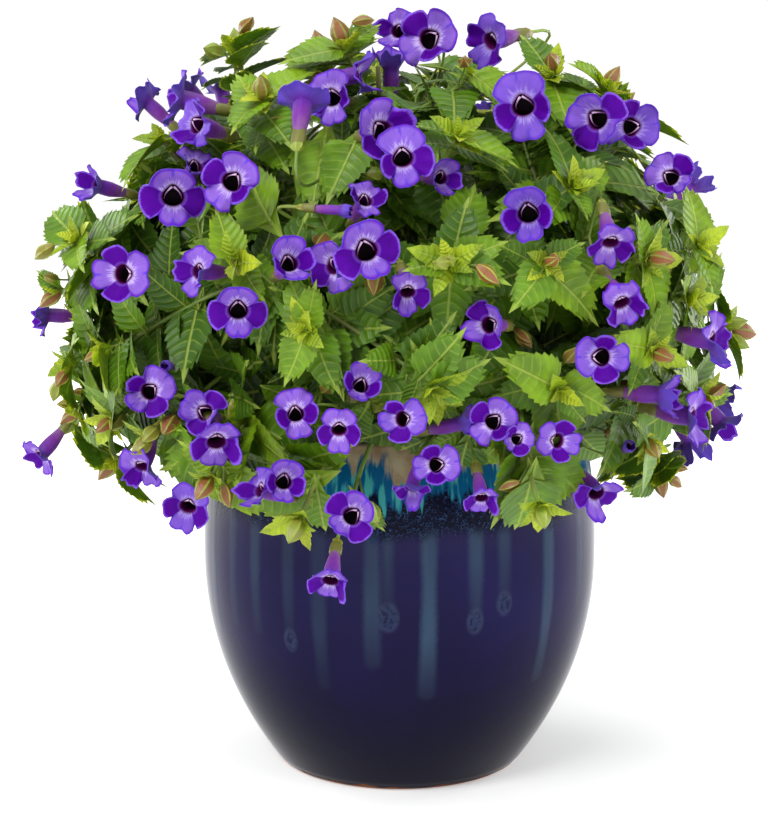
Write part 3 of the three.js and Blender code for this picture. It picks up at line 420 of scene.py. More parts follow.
class Mouths:
    """All blooms as arrays, so that points are tested against every one of them at once."""

    def __init__(self, blooms: Sequence[Bloom]) -> None:
        """Takes up the blooms.

        Args:
            blooms: all of them, in the order of their numbers.
        """
        self.blooms = blooms
        self.places, self.aheads, self.widths, self.lengths, self.scales = (
            np.array([getattr(bloom, name) for bloom in blooms])
            for name in ("place", "ahead", "width", "length", "scale"))

    def around(self, points: Vec) -> tuple[Vec, Vec]:
        """Measures points against each bloom's axis.

        Args:
            points: the points.

        Returns:
            How far each lies before each mouth, and how far beside its axis.
        """
        offset = points[:, None, :] - self.places
        forward = (offset * self.aheads).sum(2)
        return forward, np.linalg.norm(offset - forward[..., None] * self.aheads, axis=2)


@dataclass(eq=False)
class Twig:
    """A twig: its curve's control points, its line, and where it leaves its stem."""

    path: list[Vec]
    line: list[Vec]
    end: Vec
    at: float
    stem: "Stem"
    number: int = 0
    laid: list[Vec] = field(default_factory=list)


@dataclass(eq=False)
class Stem:
    """A stem from the soil to the mound's surface."""

    path: list[Vec]
    line: list[Vec]
    number: int
    twigs: list[Twig] = field(default_factory=list)

    @property
    def laid(self) -> list[Vec]:
        """The line that its leaves are measured along."""
        return self.line

    @property
    def stem(self) -> "Stem":
        """The stem that its leaves belong to, as a twig has one."""
        return self


@dataclass(eq=False)
class Spray:
    """Blooms whose stalks meet in one point at the end of a twig."""

    blooms: list[Bloom]
    sightline: bool
    crosses: bool = False
    twig: Twig | None = None
    root: Vec | None = None


# The sprays at the front. One row is one bloom: pixel across, pixel down, degrees turned to the
# right, degrees lifted, degrees rolled clockwise, width in mm, depth as a share of the mound's own.
SEEN_SPRAYS = [
    [[178, 100, -78, 12, 0, 34, 1], [195, 124, -40, 12, -50, 31, 1]],
    [[173, 197, 0, -5, 0, 37, 1], [231, 182, -8, 0, 40, 33, 1], [196, 165, 20, 30, 0, 26, 0.86]],
    [[95, 186, -50, 10, 40, 26, 1]],
    [[303, 101, 170, 55, 0, 30, 1], [331, 98, -20, 5, -10, 31, 0.97], [361, 75, 80, 10, 0, 28, 0.97]],
    [[384, 131, 25, 5, -45, 35, 1], [403, 159, 5, -10, -8, 33, 1.02], [442, 178, 30, 0, 0, 24, 0.84]],
    [[342, 211, 75, -5, 0, 15, 0.97], [366, 199, 20, 30, 0, 24, 0.92]],
    [[367, 251, 8, 0, -22, 36, 1.02], [332, 267, -35, -5, -10, 28, 0.96], [408, 294, 10, -35, 0, 24, 0.94]],
    [[290, 263, 15, 15, -15, 29, 0.98]],
    [[121, 274, -25, 0, 90, 33, 1]],
    [[196, 272, -45, 0, 20, 27, 0.98], [238, 311, 0, -8, 0, 32, 1]],
    [[428, 39, -12, 5, 63, 36, 1], [396, 31, -30, 10, 30, 27, 0.95], [391, 65, 0, 70, 0, 28, 0.93],
     [488, 42, -50, -10, 45, 31, 1]],
    [[523, 107, -5, -8, -12, 37, 1.02]],
    [[597, 120, -15, -5, -45, 35, 1.03], [632, 127, 20, 0, 80, 33, 0.98]],
    [[671, 177, -5, 10, -55, 29, 1.02]],
    [[528, 214, -5, -5, -8, 34, 1.01]],
    [[611, 245, 15, -50, 10, 27, 1], [623, 305, 30, -40, -30, 27, 1.02]],
    [[487, 325, -25, 0, 70, 27, 0.97]],
    [[602, 357, 5, 0, -90, 30, 1.01]],
    [[715, 342, 65, -12, -30, 33, 1.05]],
    [[662, 396, 70, -5, 0, 29, 1], [695, 418, 65, -10, -20, 33, 1.03]],
    [[628, 447, 20, 10, 0, 15, 0.95], [598, 495, 30, -30, 10, 29, 1.02]],
    [[493, 422, 0, 0, 45, 27, 1], [517, 439, 10, 5, 60, 19, 1.04], [463, 424, 70, 10, 0, 22, 0.97],
     [559, 441, 25, -3, -80, 24, 1]],
    [[436, 465, 0, 0, 80, 25, 1.03], [411, 490, -20, -50, 0, 21, 1.07]],
    [[482, 500, 10, -45, 0, 21, 1.06]],
    [[401, 419, -20, 0, 80, 25, 1.01], [361, 385, 10, 15, 20, 26, 0.98]],
    [[339, 431, 0, -22, 0, 24, 1.01], [296, 414, 5, 5, -10, 27, 0.99]],
    [[351, 516, -5, 5, 50, 29, 1.12], [330, 583, -10, -45, 10, 25, 1.2]],
    [[257, 490, -60, 10, 0, 25, 1.04], [284, 482, 10, 0, 10, 27, 1.06]],
    [[187, 508, -15, -25, 20, 28, 1.03], [142, 469, -25, -50, -20, 27, 1.04]],
    [[204, 412, -20, 10, -60, 27, 0.98], [217, 444, 10, -35, 0, 31, 1.02]],
    [[148, 392, -12, -5, 50, 29, 1], [168, 366, -30, 0, 0, 13, 0.93]],
    [[40, 457, -55, -45, 0, 27, 1.05]],
    [[45, 316, -70, 0, 0, 26, 1]],
]

# The shoots that stand out at the outline, and the tufts that hang over the pot:
# pixel across, pixel down, depth as a share of the mound's own.
SEEN_SHOOTS = [
    [76, 238, 1], [60, 292, 1], [70, 362, 1], [106, 350, 0.97], [62, 422, 1], [112, 420, 0.98],
    [150, 438, 1], [237, 52, 0.99], [345, 46, 0.99], [470, 70, 0.97], [552, 76, 0.98], [606, 90, 1.01],
    [700, 245, 1.03], [648, 262, 1], [688, 300, 1], [655, 352, 1], [648, 440, 1], [300, 520, 1.1],
    [540, 506, 1.1], [210, 478, 1.02], [430, 392, 1], [305, 330, 0.98], [450, 262, 0.98], [548, 262, 0.98],
]

# The leaves that hang over the rim: tip's pixel across and down, depth, and length in mm.
SEEN_LEAVES = [
    [455, 512, 1, 44], [497, 520, 1, 46], [520, 530, 1, 44], [553, 512, 1, 42], [578, 492, 1, 42],
    [592, 478, 1, 38], [470, 478, 0.95, 42], [512, 488, 0.95, 44], [540, 470, 0.95, 40], [436, 482, 0.95, 40],
    [620, 500, 1, 40], [610, 470, 0.97, 40], [205, 490, 1, 44], [228, 478, 1, 42], [250, 500, 1, 44],
    [280, 470, 0.95, 42], [300, 492, 1, 42], [170, 470, 1, 42], [310, 450, 0.9, 38], [240, 455, 0.9, 40],
    [565, 450, 0.92, 40], [500, 455, 0.92, 40], [425, 440, 0.92, 38], [640, 465, 1, 40], [150, 440, 1, 40],
    [190, 450, 0.95, 40],
]


class Room:
    """What stands in the way of a rod that is still to be laid."""

    GAP = 1.2
    RIM = 5
    SAMPLE = 6
    MOST_RODS = 4000
    WAIST = 0.3

    def __init__(self, mouths: Mouths) -> None:
        """Takes up the room of the blooms.

        Args:
            mouths: all of them.
        """
        self.mouths = mouths
        self.owners: list[object] = []
        self.ends = np.zeros((self.MOST_RODS, 2, 3))
        self.radii = np.zeros(self.MOST_RODS)
        for bloom in mouths.blooms:
            waist = bloom.foot + bloom.ahead * (bloom.length * self.WAIST)
            self.lay([waist, bloom.place], Bloom.THROAT * bloom.scale, bloom)
            self.lay([bloom.foot, waist], Bloom.CALYX, bloom)

    def lay(self, line: Sequence[Vec], radius: float, owner: object) -> None:
        """Takes up the room of a rod.

        Args:
            line: its points.
            radius: its radius.
            owner: what it belongs to.
        """
        for start, end in zip(line, line[1:]):
            self.ends[len(self.owners)] = (start, end)
            self.radii[len(self.owners)] = radius
            self.owners.append(owner)

    def take_back(self, count: int) -> None:
        """Gives up the room of the last segments."""
        del self.owners[len(self.owners) - count:]

    def points_are_free(self, points: Vec, owners: Sequence[object]) -> bool:
        """Tests points against the pot's wall, the soil and every mouth of a bloom.

        Args:
            points: the points.
            owners: the blooms that they may touch.

        Returns:
            Whether all of them keep clear.
        """
        for x, y, z in points:
            if z < POT.height + self.RIM:
                level = min(z, POT.height)
                radius = math.hypot(x, y)
                if POT.inside(level) - self.RIM < radius < POT.radius(level) + self.RIM:
                    return False
                if radius < POT.radius(level) and z < POT.soil_crown + self.RIM:
                    return False
        forward, aside = self.mouths.around(points)
        blocked = (np.abs(forward) <= 6 * self.mouths.scales + 2) & (aside <= self.mouths.widths / 2 + 2)
        others = np.array([bloom not in owners for bloom in self.mouths.blooms])
        return not (blocked.any(0) & others).any()

    def line_is_free(self, line: Sequence[Vec], radius: float, owners: Sequence[object]) -> bool:
        """Tests a rod that is still to be laid.

        Args:
            line: its points.
            radius: its radius.
            owners: what it may touch.

        Returns:
            Whether it can be laid there.
        """
        points = []
        for start, end in zip(line, line[1:]):
            samples = math.ceil(np.linalg.norm(end - start) / self.SAMPLE)
            points += [start + (end - start) * (k / samples) for k in range(samples + 1)]
        if not self.points_are_free(np.array(points), owners):
            return False
        count = len(self.owners)
        others = np.array([owner not in owners for owner in self.owners])
        for start, end in zip(line, line[1:]):
            near = segment_distances(start, end, self.ends[:count, 0], self.ends[:count, 1])
            if ((near < radius + self.radii[:count] + self.GAP) & others).any():
                return False
        return True


class StemRule:
    """How the stems stand."""

    count = 16
    radius = 2.4
    tip_radius = 1.4
    steps = 6
    lowest, highest = 220, 448
    reach = 0.93
    inner_foot, outer_foot = 16, 60
    collar, lean, rise = 4, 6, 70
    outer_pull, inner_pull = (-60, 60), (-14, -60)
    attempts, turn, shrink = 60, 0.1, 0.004


class TwigRule:
    """How the twigs leave their stems."""

    radius = 1.2
    steps = 3
    straightest = 0.93
    shortest = 18
    leave_ahead, bend_near, bend_far = 0.4, 0.4, 0.25
    starts = (0.3, 0.36, 0.42, 0.48, 0.54, 0.6, 0.66, 0.72, 0.78, 0.84)
    beside, detour, busy, tries, clear_of = 0.03, 0.35, 6, 50, 12
    skin, first_leaf, close = 3.2, 1.4, 0.01


class RootRule:
    """Where a spray's stalks meet."""

    past, seat, tested = 0.6, 1.45, 4
    attempts, nearest, layers, layer, stray = 600, 8, 25, 1.2, 0.15
    bends = (0.6, 0.45, 0.3)
    least_out, least_ahead = 0.15, 0.4
    stalk = 0.95


class BackRule:
    """The clusters of blooms at the back, which the picture doesn't show."""

    count = 9
    lowest, highest = 205, 435
    spread = 0.94
    ring = 25
    widths = (27, 35)


class ShootRule:
    """The leafy shoots."""

    candidates, most, apart = 200, 50, 42
    lowest, highest = 175, 460
    depths = (0.87, 0.98)
    spin = 1.7
    retry = 12


def meets(line: Sequence[Vec], other: Sequence[Vec], radius: float) -> bool:
    """Whether a twig would touch a rod.

    Args:
        line: the twig's points.
        other: the rod's points.
        radius: the rod's radius.

    Returns:
        Whether it would.
    """
    starts, ends = np.array(other[:-1]), np.array(other[1:])
    return any((segment_distances(a, b, starts, ends) < TwigRule.radius + radius + Room.GAP / 2).any()
               for a, b in zip(line, line[1:]))


class Plant:
    """The whole plant's layout: blooms, stems, twigs and shoots."""

    SHIFTS = (0, 5, -5, 10, -10, 15, -15, 20, -20, 26, -26)

    def __init__(self) -> None:
        """Lays the plant out."""
        self.sprays = [Spray([Bloom.seen(*row) for row in rows], True) for rows in SEEN_SPRAYS]
        self.sprays += [Spray(self.back_blooms(number), False) for number in range(BackRule.count)]
        self.settle_blooms()
        self.mouths = Mouths([bloom for spray in self.sprays for bloom in spray.blooms])
        self.room = Room(self.mouths)
        self.stems: list[Stem] = []
        for number in range(StemRule.count):
            self.stems.append(self.grow_stem(number))
        self.starts = [(stem, at, bezier(stem.path, at), self.way_at(stem, at, TwigRule.beside))
                       for stem in self.stems for at in TwigRule.starts]
        for spray in self.sprays:
            if not self.try_spray(spray):
                spray.crosses = True
                self.try_spray(spray)
        self.shoots: list[Twig] = []
        self.grow_shoots()
        for number, twig in enumerate(twig for stem in self.stems for twig in stem.twigs):
            twig.number = number
            self.lay_twig(twig)

    @staticmethod
    def way_at(stem: Stem, at: float, beside: float) -> Vec:
        """The way that a stem runs at a share of its curve."""
        return unit(bezier(stem.path, at + beside) - bezier(stem.path, at - beside))

    @staticmethod
    def back_blooms(number: int) -> list[Bloom]:
        """A cluster of blooms round one point at the back of the mound.

        Args:
            number: which of the clusters.

        Returns:
            Its blooms.
        """
        z = lerp(BackRule.lowest, BackRule.highest, (number + 0.5) / BackRule.count)
        angle = math.pi * (0.5 + (((number * GOLDEN_SHARE) % 1) - 0.5) * BackRule.spread)
        middle = MOUND.point(z, angle, 1)
        out = MOUND.out(middle)
        side = np.array([-math.sin(angle), math.cos(angle), 0])
        rise = np.cross(out, side)
        size = 2 if number % 4 == 3 else 3
        blooms = []
        for k in range(size):
            item = number * 7 + k
            aside = toward(side, rise, (k / size + 0.2 * draw(item, 1)) * 2 * math.pi)
            place = (middle + aside * (BackRule.ring * between(0.85, 1.1, item, 2))
                     + out * between(-6, 5, item, 3))
            ahead = unit(out + aside * 0.35 + UP * between(-0.45, 0.2, item, 4))
            blooms.append(Bloom.facing(place, ahead, UP, math.radians(between(-70, 70, item, 5)),
                                       between(*BackRule.widths, item, 6)))
        return blooms

    def settle_blooms(self) -> None:
        """Moves a bloom that would cross one before it in or out, until it is clear."""
        settled: list[Bloom] = []
        for spray in self.sprays:
            for i, bloom in enumerate(spray.blooms):
                way = unit(bloom.place - np.array(SIGHT.eye)) if spray.sightline else MOUND.out(bloom.place)
                for shift in self.SHIFTS:
                    moved = bloom.moved(way, shift)
                    if not any(moved.crosses(other) for other in settled):
                        break
                else:
                    spray.crosses = True
                    moved = bloom.moved(way, 0)
                moved.number = len(settled)
                settled.append(moved)
                spray.blooms[i] = moved

    def grow_stem(self, number: int) -> Stem:
        """Grows a stem: straight up out of the soil, then over in an arch to the mound's surface.

        Args:
            number: which of the stems.

        Returns:
            The stem, with its room taken up.
        """
        rule = StemRule
        share = (number + 0.5) / rule.count
        for attempt in range(rule.attempts):
            angle = number * GOLDEN_ANGLE + attempt * rule.turn * (1 if attempt % 2 else -1)
            end = MOUND.point(lerp(rule.lowest, rule.highest, share), angle,
                              rule.reach - rule.shrink * attempt)
            out = np.array([math.cos(angle), math.sin(angle), 0])
            foot = out * lerp(rule.outer_foot, rule.inner_foot, share)
            foot[2] = POT.soil_crown - POT.hole_depth
            collar = foot + UP * (POT.hole_depth + rule.collar)
            pull_out, pull_up = (lerp(a, b, share) for a, b in zip(rule.outer_pull, rule.inner_pull))
            path = [collar, collar + out * rule.lean + UP * rule.rise,
                    end + out * pull_out + UP * pull_up, end]
            stem = Stem(path, [foot, *sample_path(path, rule.steps)], number)
            if self.room.line_is_free(stem.line[2:], rule.radius, [stem]):
                self.room.lay(stem.line, rule.radius, stem)
                return stem
        raise ValueError(f"stem {number} finds no way")

    def grow_twig(self, end: Vec, out: Vec) -> Twig | None:
        """Grows a twig from the nearest stem that lets it pass clear of all the rest.

        Args:
            end: where its tip goes.
            out: the way out of the mound there.

        Returns:
            The twig, or None where no stem has a way.
        """
        rule = TwigRule
        starts = []
        for stem, at, origin, ahead in self.starts:
            reach = float(np.linalg.norm(end - origin))
            way = (end - origin) / reach
            straight = float(way.dot(ahead))
            taken = any(twig.at == at for twig in stem.twigs)
            if straight < rule.straightest and not taken and reach > rule.shortest:
                cost = reach * (1 + rule.detour * (1 - straight)) + rule.busy * len(stem.twigs)
                starts.append((cost, stem, at, origin, ahead, way, reach))
        starts.sort(key=lambda start: start[0])
        for _, stem, at, origin, ahead, way, reach in starts[:rule.tries]:
            leave = unit(way + (ahead - way) * rule.leave_ahead)
            path = [origin, origin + leave * (reach * rule.bend_near),
                    end - out * (reach * rule.bend_far), end]
            line = sample_path(path, rule.steps)
            clear = [origin + unit(line[1] - origin) * rule.clear_of, *line[1:]]
            if (self.room.line_is_free(line, rule.radius, [stem])
                    and not meets(clear, stem.line[1:], StemRule.radius)
                    and not any(meets(clear, twig.line, rule.radius) for twig in stem.twigs)):
                twig = Twig(path, line, end, at, stem)
                stem.twigs.append(twig)
                self.room.lay(line, rule.radius, stem)
                return twig
        return None

    def try_spray(self, spray: Spray) -> bool:
        """Joins a spray's stalks behind its blooms and brings a twig up to that point.

        Args:
            spray: the spray.

        Returns:
            Whether a place and a twig were found.
        """
        rule = RootRule
        middle = sum((bloom.foot for bloom in spray.blooms), np.zeros(3)) / len(spray.blooms)
        out = MOUND.out(middle)
        for attempt in range(rule.attempts):
            root = (middle - out * (rule.nearest + (attempt % rule.layers) * rule.layer)
                    + stray(attempt, 21) * (attempt * rule.stray))
            share = rule.bends[attempt % len(rule.bends)]
            stalks = []
            for bloom in spray.blooms:
                bend = bloom.foot - bloom.ahead * (share * float(np.linalg.norm(bloom.foot - root)))
                line = sample_path([bloom.foot, bend, root], 2)
                opens = (unit(line[1] - line[2]).dot(out) > rule.least_out
                         and unit(line[0] - line[1]).dot(bloom.ahead) > rule.least_ahead)
                line[2] = line[2] + unit(line[2] - line[1]) * rule.past
                owners = [spray, *spray.blooms] if spray.crosses else [spray, bloom]
                if not opens or not self.room.line_is_free(line, rule.stalk, owners):
                    break
                stalks.append((line, [bloom.foot, bend, root]))
            if len(stalks) < len(spray.blooms):
                continue
            for line, _ in stalks:
                self.room.lay(line, rule.stalk, spray)
            twig = self.grow_twig(root - out * rule.tested, out)
            if twig:
                twig.end = root - out * rule.seat
                twig.line[TwigRule.steps] = twig.end
                twig.path[3] = root
                spray.twig, spray.root = twig, root
                for bloom, (_, path) in zip(spray.blooms, stalks):
                    bloom.stalk = path
                return True
            self.room.take_back(2 * len(stalks))
        return False

    def grow_shoot(self, end: Vec) -> bool:
        """Grows a leafy shoot.

        Args:
            end: where its tip goes.

        Returns:
            Whether it finds a way there.
        """
        twig = self.grow_twig(end, MOUND.out(end)) if self.room.points_are_free(end[None], []) else None
        if twig:
            self.shoots.append(twig)
        return twig is not None

    def grow_shoots(self) -> None:
        """The shoots that the outline shows, then more, evenly over the mound."""
        rule = ShootRule
        for across, down, depth in SEEN_SHOOTS:
            point, _ = SIGHT.on_mound(across, down, depth)
            if not self.grow_shoot(point):
                self.grow_shoot(point - MOUND.out(point) * rule.retry)
        for i in range(rule.candidates):
            if len(self.shoots) >= rule.most:
                break
            z, angle = lerp(rule.lowest, rule.highest, (i * GOLDEN_SHARE) % 1), i * GOLDEN_ANGLE * rule.spin
            end = MOUND.point(z, angle, between(*rule.depths, i, 8))
            ends = [tip for stem in self.stems for tip in (stem.line[-1], *(twig.end for twig in stem.twigs))]
            if min(np.linalg.norm(tip - end) for tip in ends) > rule.apart:
                self.grow_shoot(end)

    def lay_twig(self, twig: Twig) -> None:
        """Sets the line that the twig's leaves are measured along, from its stem's skin on.

        Args:
            twig: the twig.
        """
        leave = unit(twig.line[1] - twig.line[0])
        ahead = self.way_at(twig.stem, twig.at, TwigRule.close)
        start = twig.line[0] + square_to(leave, ahead) * TwigRule.skin + leave * TwigRule.first_leaf
        twig.laid = [start, *twig.line[1:]]


# How the pieces are modelled.

class Part(Enum):
    """What a face is made of: its place in a piece's list of finishes."""

    STALK = 0
    LEAF = 1
    CALYX = 2
    PETAL_FACE = 3
    PETAL_BACK = 4
    STAMEN = 5


def read(data: bpy.types.bpy_prop_collection, name: str, width: int = 1, kind: type = np.float32) -> Vec:
    """Reads a property of all the items of a mesh.

    Args:
        data: the items.
        name: the property.
        width: how many numbers each item holds.
        kind: their type.

    Returns:
        One row for each item.
    """
    values = np.zeros(len(data) * width, kind)
    data.foreach_get(name, values)
    if kind is np.float32:
        values = values.astype(float)
    return values.reshape(-1, width) if width > 1 else values


def start_clean() -> None:
    """Leaves edit mode and selects nothing."""
    if bpy.context.object and bpy.context.object.mode != "OBJECT":
        bpy.ops.object.mode_set(mode="OBJECT")
    bpy.ops.object.select_all(action="DESELECT")


@contextmanager
def editing(thing: Thing) -> Iterator[None]:
    """Edit mode on an object with all of it selected, and object mode again at the end.

    Args:
        thing: the object.

    Returns:
        The context.
    """
    start_clean()
    bpy.context.view_layer.objects.active = thing
    bpy.ops.object.mode_set(mode="EDIT")
    bpy.ops.mesh.select_all(action="SELECT")
    yield
    bpy.ops.object.mode_set(mode="OBJECT")


def close_ends() -> None:
    """Closes the open ends of what is being edited, and turns its faces outwards."""
    bpy.ops.mesh.fill_holes(sides=0)
    bpy.ops.mesh.normals_make_consistent(inside=False)


def set_mark(thing: Thing, name: str, values: Vec) -> None:
    """Gives an object's points the numbers that its finish reads under a name."""
    kind, key = ("FLOAT_VECTOR", "vector") if np.ndim(values) > 1 else ("FLOAT", "value")
    thing.data.attributes.new(name, kind, "POINT").data.foreach_set(key, np.float32(values).ravel())


def get_points(thing: Thing) -> Vec:
    """An object's points as an array."""
    return read(thing.data.vertices, "co", 3)


def set_points(thing: Thing, points: Vec) -> None:
    """Moves an object's points."""
    thing.data.vertices.foreach_set("co", np.float32(points).ravel())
    thing.data.update()


def draw_out(sides: int, profile: Sequence[tuple[float, float]]) -> Thing:
    """A turned form: a ring that is extruded and resized from one station of its profile to the next.

    Args:
        sides: how many points each ring has.
        profile: radius and height of every station.

    Returns:
        The object, whose points come ring by ring.
    """
    start_clean()
    radius, height = profile[0]
    bpy.ops.mesh.primitive_circle_add(vertices=sides, radius=radius, location=(0, 0, height))
    thing = bpy.context.object
    bpy.ops.object.transform_apply(location=True)
    with editing(thing):
        for (radius, height), (next_radius, next_height) in zip(profile, profile[1:]):
            bpy.ops.mesh.extrude_region_move(TRANSFORM_OT_translate={"value": (0, 0, next_height - height)})
            share = next_radius / radius
            bpy.ops.transform.resize(value=(share, share, 1), center_override=(0, 0, next_height))
    return thing


def apply_modifier(thing: Thing, kind: str, **settings: object) -> None:
    """Adds a modifier to an object and applies it.

    Args:
        thing: the object.
        kind: the modifier's type.
        settings: its properties.
    """
    bpy.context.view_layer.objects.active = thing
    modifier = thing.modifiers.new(kind, kind)
    for name, value in settings.items():
        setattr(modifier, name, value)
    bpy.ops.object.modifier_apply(modifier=modifier.name)


def smooth(thing: Thing, degrees: float) -> None:
    """Smooths the edges of an object that turn by less than an angle.

    Args:
        thing: the object.
        degrees: the angle.
    """
    start_clean()
    thing.select_set(True)
    bpy.context.view_layer.objects.active = thing
    bpy.ops.object.shade_smooth_by_angle(angle=math.radians(degrees))


@dataclass
class Shape:
    """A form as arrays, ready to be copied: points in mm, faces, and what its finishes read."""

    points: Vec
    loops: Vec
    sizes: Vec
    parts: Vec
    lay: Vec
    along: Vec

    @classmethod
    def of_object(cls, thing: Thing, parts: Sequence[Part]) -> "Shape":
        """Takes the arrays out of a modelled object, and puts the object away.

        Args:
            thing: the finished object, in mm, with the attributes lay and along.
            parts: what each of its material places stands for.

        Returns:
            The shape.
        """
        mesh = thing.data
        values = np.array([part.value for part in parts])
        shape = cls(read(mesh.vertices, "co", 3), read(mesh.loops, "vertex_index", 1, np.int32),
                    read(mesh.polygons, "loop_total", 1, np.int32),
                    values[read(mesh.polygons, "material_index", 1, np.int32)],
                    read(mesh.attributes["lay"].data, "vector", 3),
                    read(mesh.attributes["along"].data, "value"))
        bpy.data.objects.remove(thing)
        bpy.data.meshes.remove(mesh)
        return shape

    def with_points(self, points: Vec) -> "Shape":
        """The same form with its points moved."""
        return Shape(points, self.loops, self.sizes, self.parts, self.lay, self.along)

    def placed(self, origin: Vec, side: Vec, up: Vec, ahead: Vec, scale: float,
               stretch: float | None = None) -> "Shape":
        """Puts a copy of the shape, which is modelled along +Z, in its place.

        Args:
            origin: where its origin goes.
            side: its +X.
            up: its +Y.
            ahead: its +Z.
            scale: its size.
            stretch: its size behind the origin along +Z, if it isn't the same.

        Returns:
            The shape in its place.
        """
        x, y, z = self.points.T
        z = z * scale if stretch is None else np.where(z < 0, z * stretch, z * scale)
        return self.with_points(origin + (x * scale)[:, None] * side + (y * scale)[:, None] * up
                                + z[:, None] * ahead)


class Collector:
    """Gathers copies of shapes into one piece."""

    SMOOTH = 75

    def __init__(self) -> None:
        """Starts with nothing in it."""
        self.shapes: list[Shape] = []
        self.tones: list[float] = []

    def add(self, shape: Shape, tone: float) -> None:
        """Adds a shape that is already in its place, with its own tone."""
        self.shapes.append(shape)
        self.tones.append(tone)

    def piece(self, name: str, finishes: Sequence[Material]) -> Thing:
        """Makes one mesh of all that was gathered.

        Args:
            name: the piece's name.
            finishes: the materials, in the order of Part.

        Returns:
            The piece, in metres, with smooth faces.
        """
        counts = [len(shape.points) for shape in self.shapes]
        points, sizes, parts, lay, along = (np.concatenate([getattr(shape, key) for shape in self.shapes])
                                            for key in ("points", "sizes", "parts", "lay", "along"))
        offsets = np.cumsum([0, *counts])
        loops = np.concatenate([shape.loops + start for shape, start in zip(self.shapes, offsets)])
        used = sorted(set(parts.tolist()))
        mesh = bpy.data.meshes.new(name)
        for data, rows in ((mesh.vertices, points), (mesh.loops, loops), (mesh.polygons, sizes)):
            data.add(len(rows))
        for data, key, values in (
                (mesh.vertices, "co", np.float32(points * MM).ravel()),
                (mesh.loops, "vertex_index", np.int32(loops)),
                (mesh.polygons, "loop_start", np.int32(np.cumsum(sizes) - sizes)),
                (mesh.polygons, "material_index", np.int32(np.searchsorted(used, parts))),
                (mesh.polygons, "use_smooth", np.ones(len(sizes), bool))):
            data.foreach_set(key, values)
        for value in used:
            mesh.materials.append(finishes[value])
        mesh.update(calc_edges=True)
        thing = bpy.data.objects.new(name, mesh)
        bpy.context.scene.collection.objects.link(thing)
        for mark, values in (("lay", lay), ("along", along), ("tone", np.repeat(self.tones, counts))):
            set_mark(thing, mark, values)
        smooth(thing, self.SMOOTH)
        return thing


def sweep(line: Sequence[Vec], radii: Sequence[float], sides: int, square: float = 0) -> Shape:
    """A closed rod along a line.

    Args:
        line: the points of its axis.
        radii: its radius at each of them.
        sides: how many sides it has.
        square: how much its four corners stand out, as a share of the radius.

    Returns:
        The rod.
    """
    axis = np.array(line)
    ahead = np.gradient(axis, axis=0)
    ahead /= np.linalg.norm(ahead, axis=1)[:, None]
    turns = np.arange(sides) * 2 * math.pi / sides
    girth = 1 + square * np.cos(4 * turns)
    aside = square_to(ASKEW, ahead[0])
    rings = []
    for point, way, radius in zip(axis, ahead, radii):
        aside = square_to(aside, way)
        rings.append(point + radius * girth[:, None] * (np.cos(turns)[:, None] * aside
                                                         + np.sin(turns)[:, None] * np.cross(way, aside)))
    count = len(axis)
    points = np.concatenate([*rings, [axis[0]], [axis[-1]]])
    first = np.arange(sides)
    after = (first + 1) % sides
    last = (count - 1) * sides
    foot, tip = np.full(sides, count * sides), np.full(sides, count * sides + 1)
    walls = [np.stack([ring + first, ring + after, ring + sides + after, ring + sides + first], 1)
             for ring in range(0, last, sides)]
    ends = [np.stack([after, first, foot], 1), np.stack([last + first, last + after, tip], 1)]
    sizes = np.repeat([4, 3], [sides * (count - 1), sides * 2])
    along = np.concatenate([np.repeat(np.linspace(0, 1, count), sides), [0, 1]])
    lay = np.zeros((len(points), 3))
    lay[:count * sides, 0] = np.tile(np.cos(4 * turns), count)
    lay[:, 1] = along * length_of(line)
    return Shape(points, np.concatenate([rows.ravel() for rows in (*walls, *ends)]), sizes,
                 np.full(len(sizes), Part.STALK.value), lay, along)


# The leaf and the bloom.

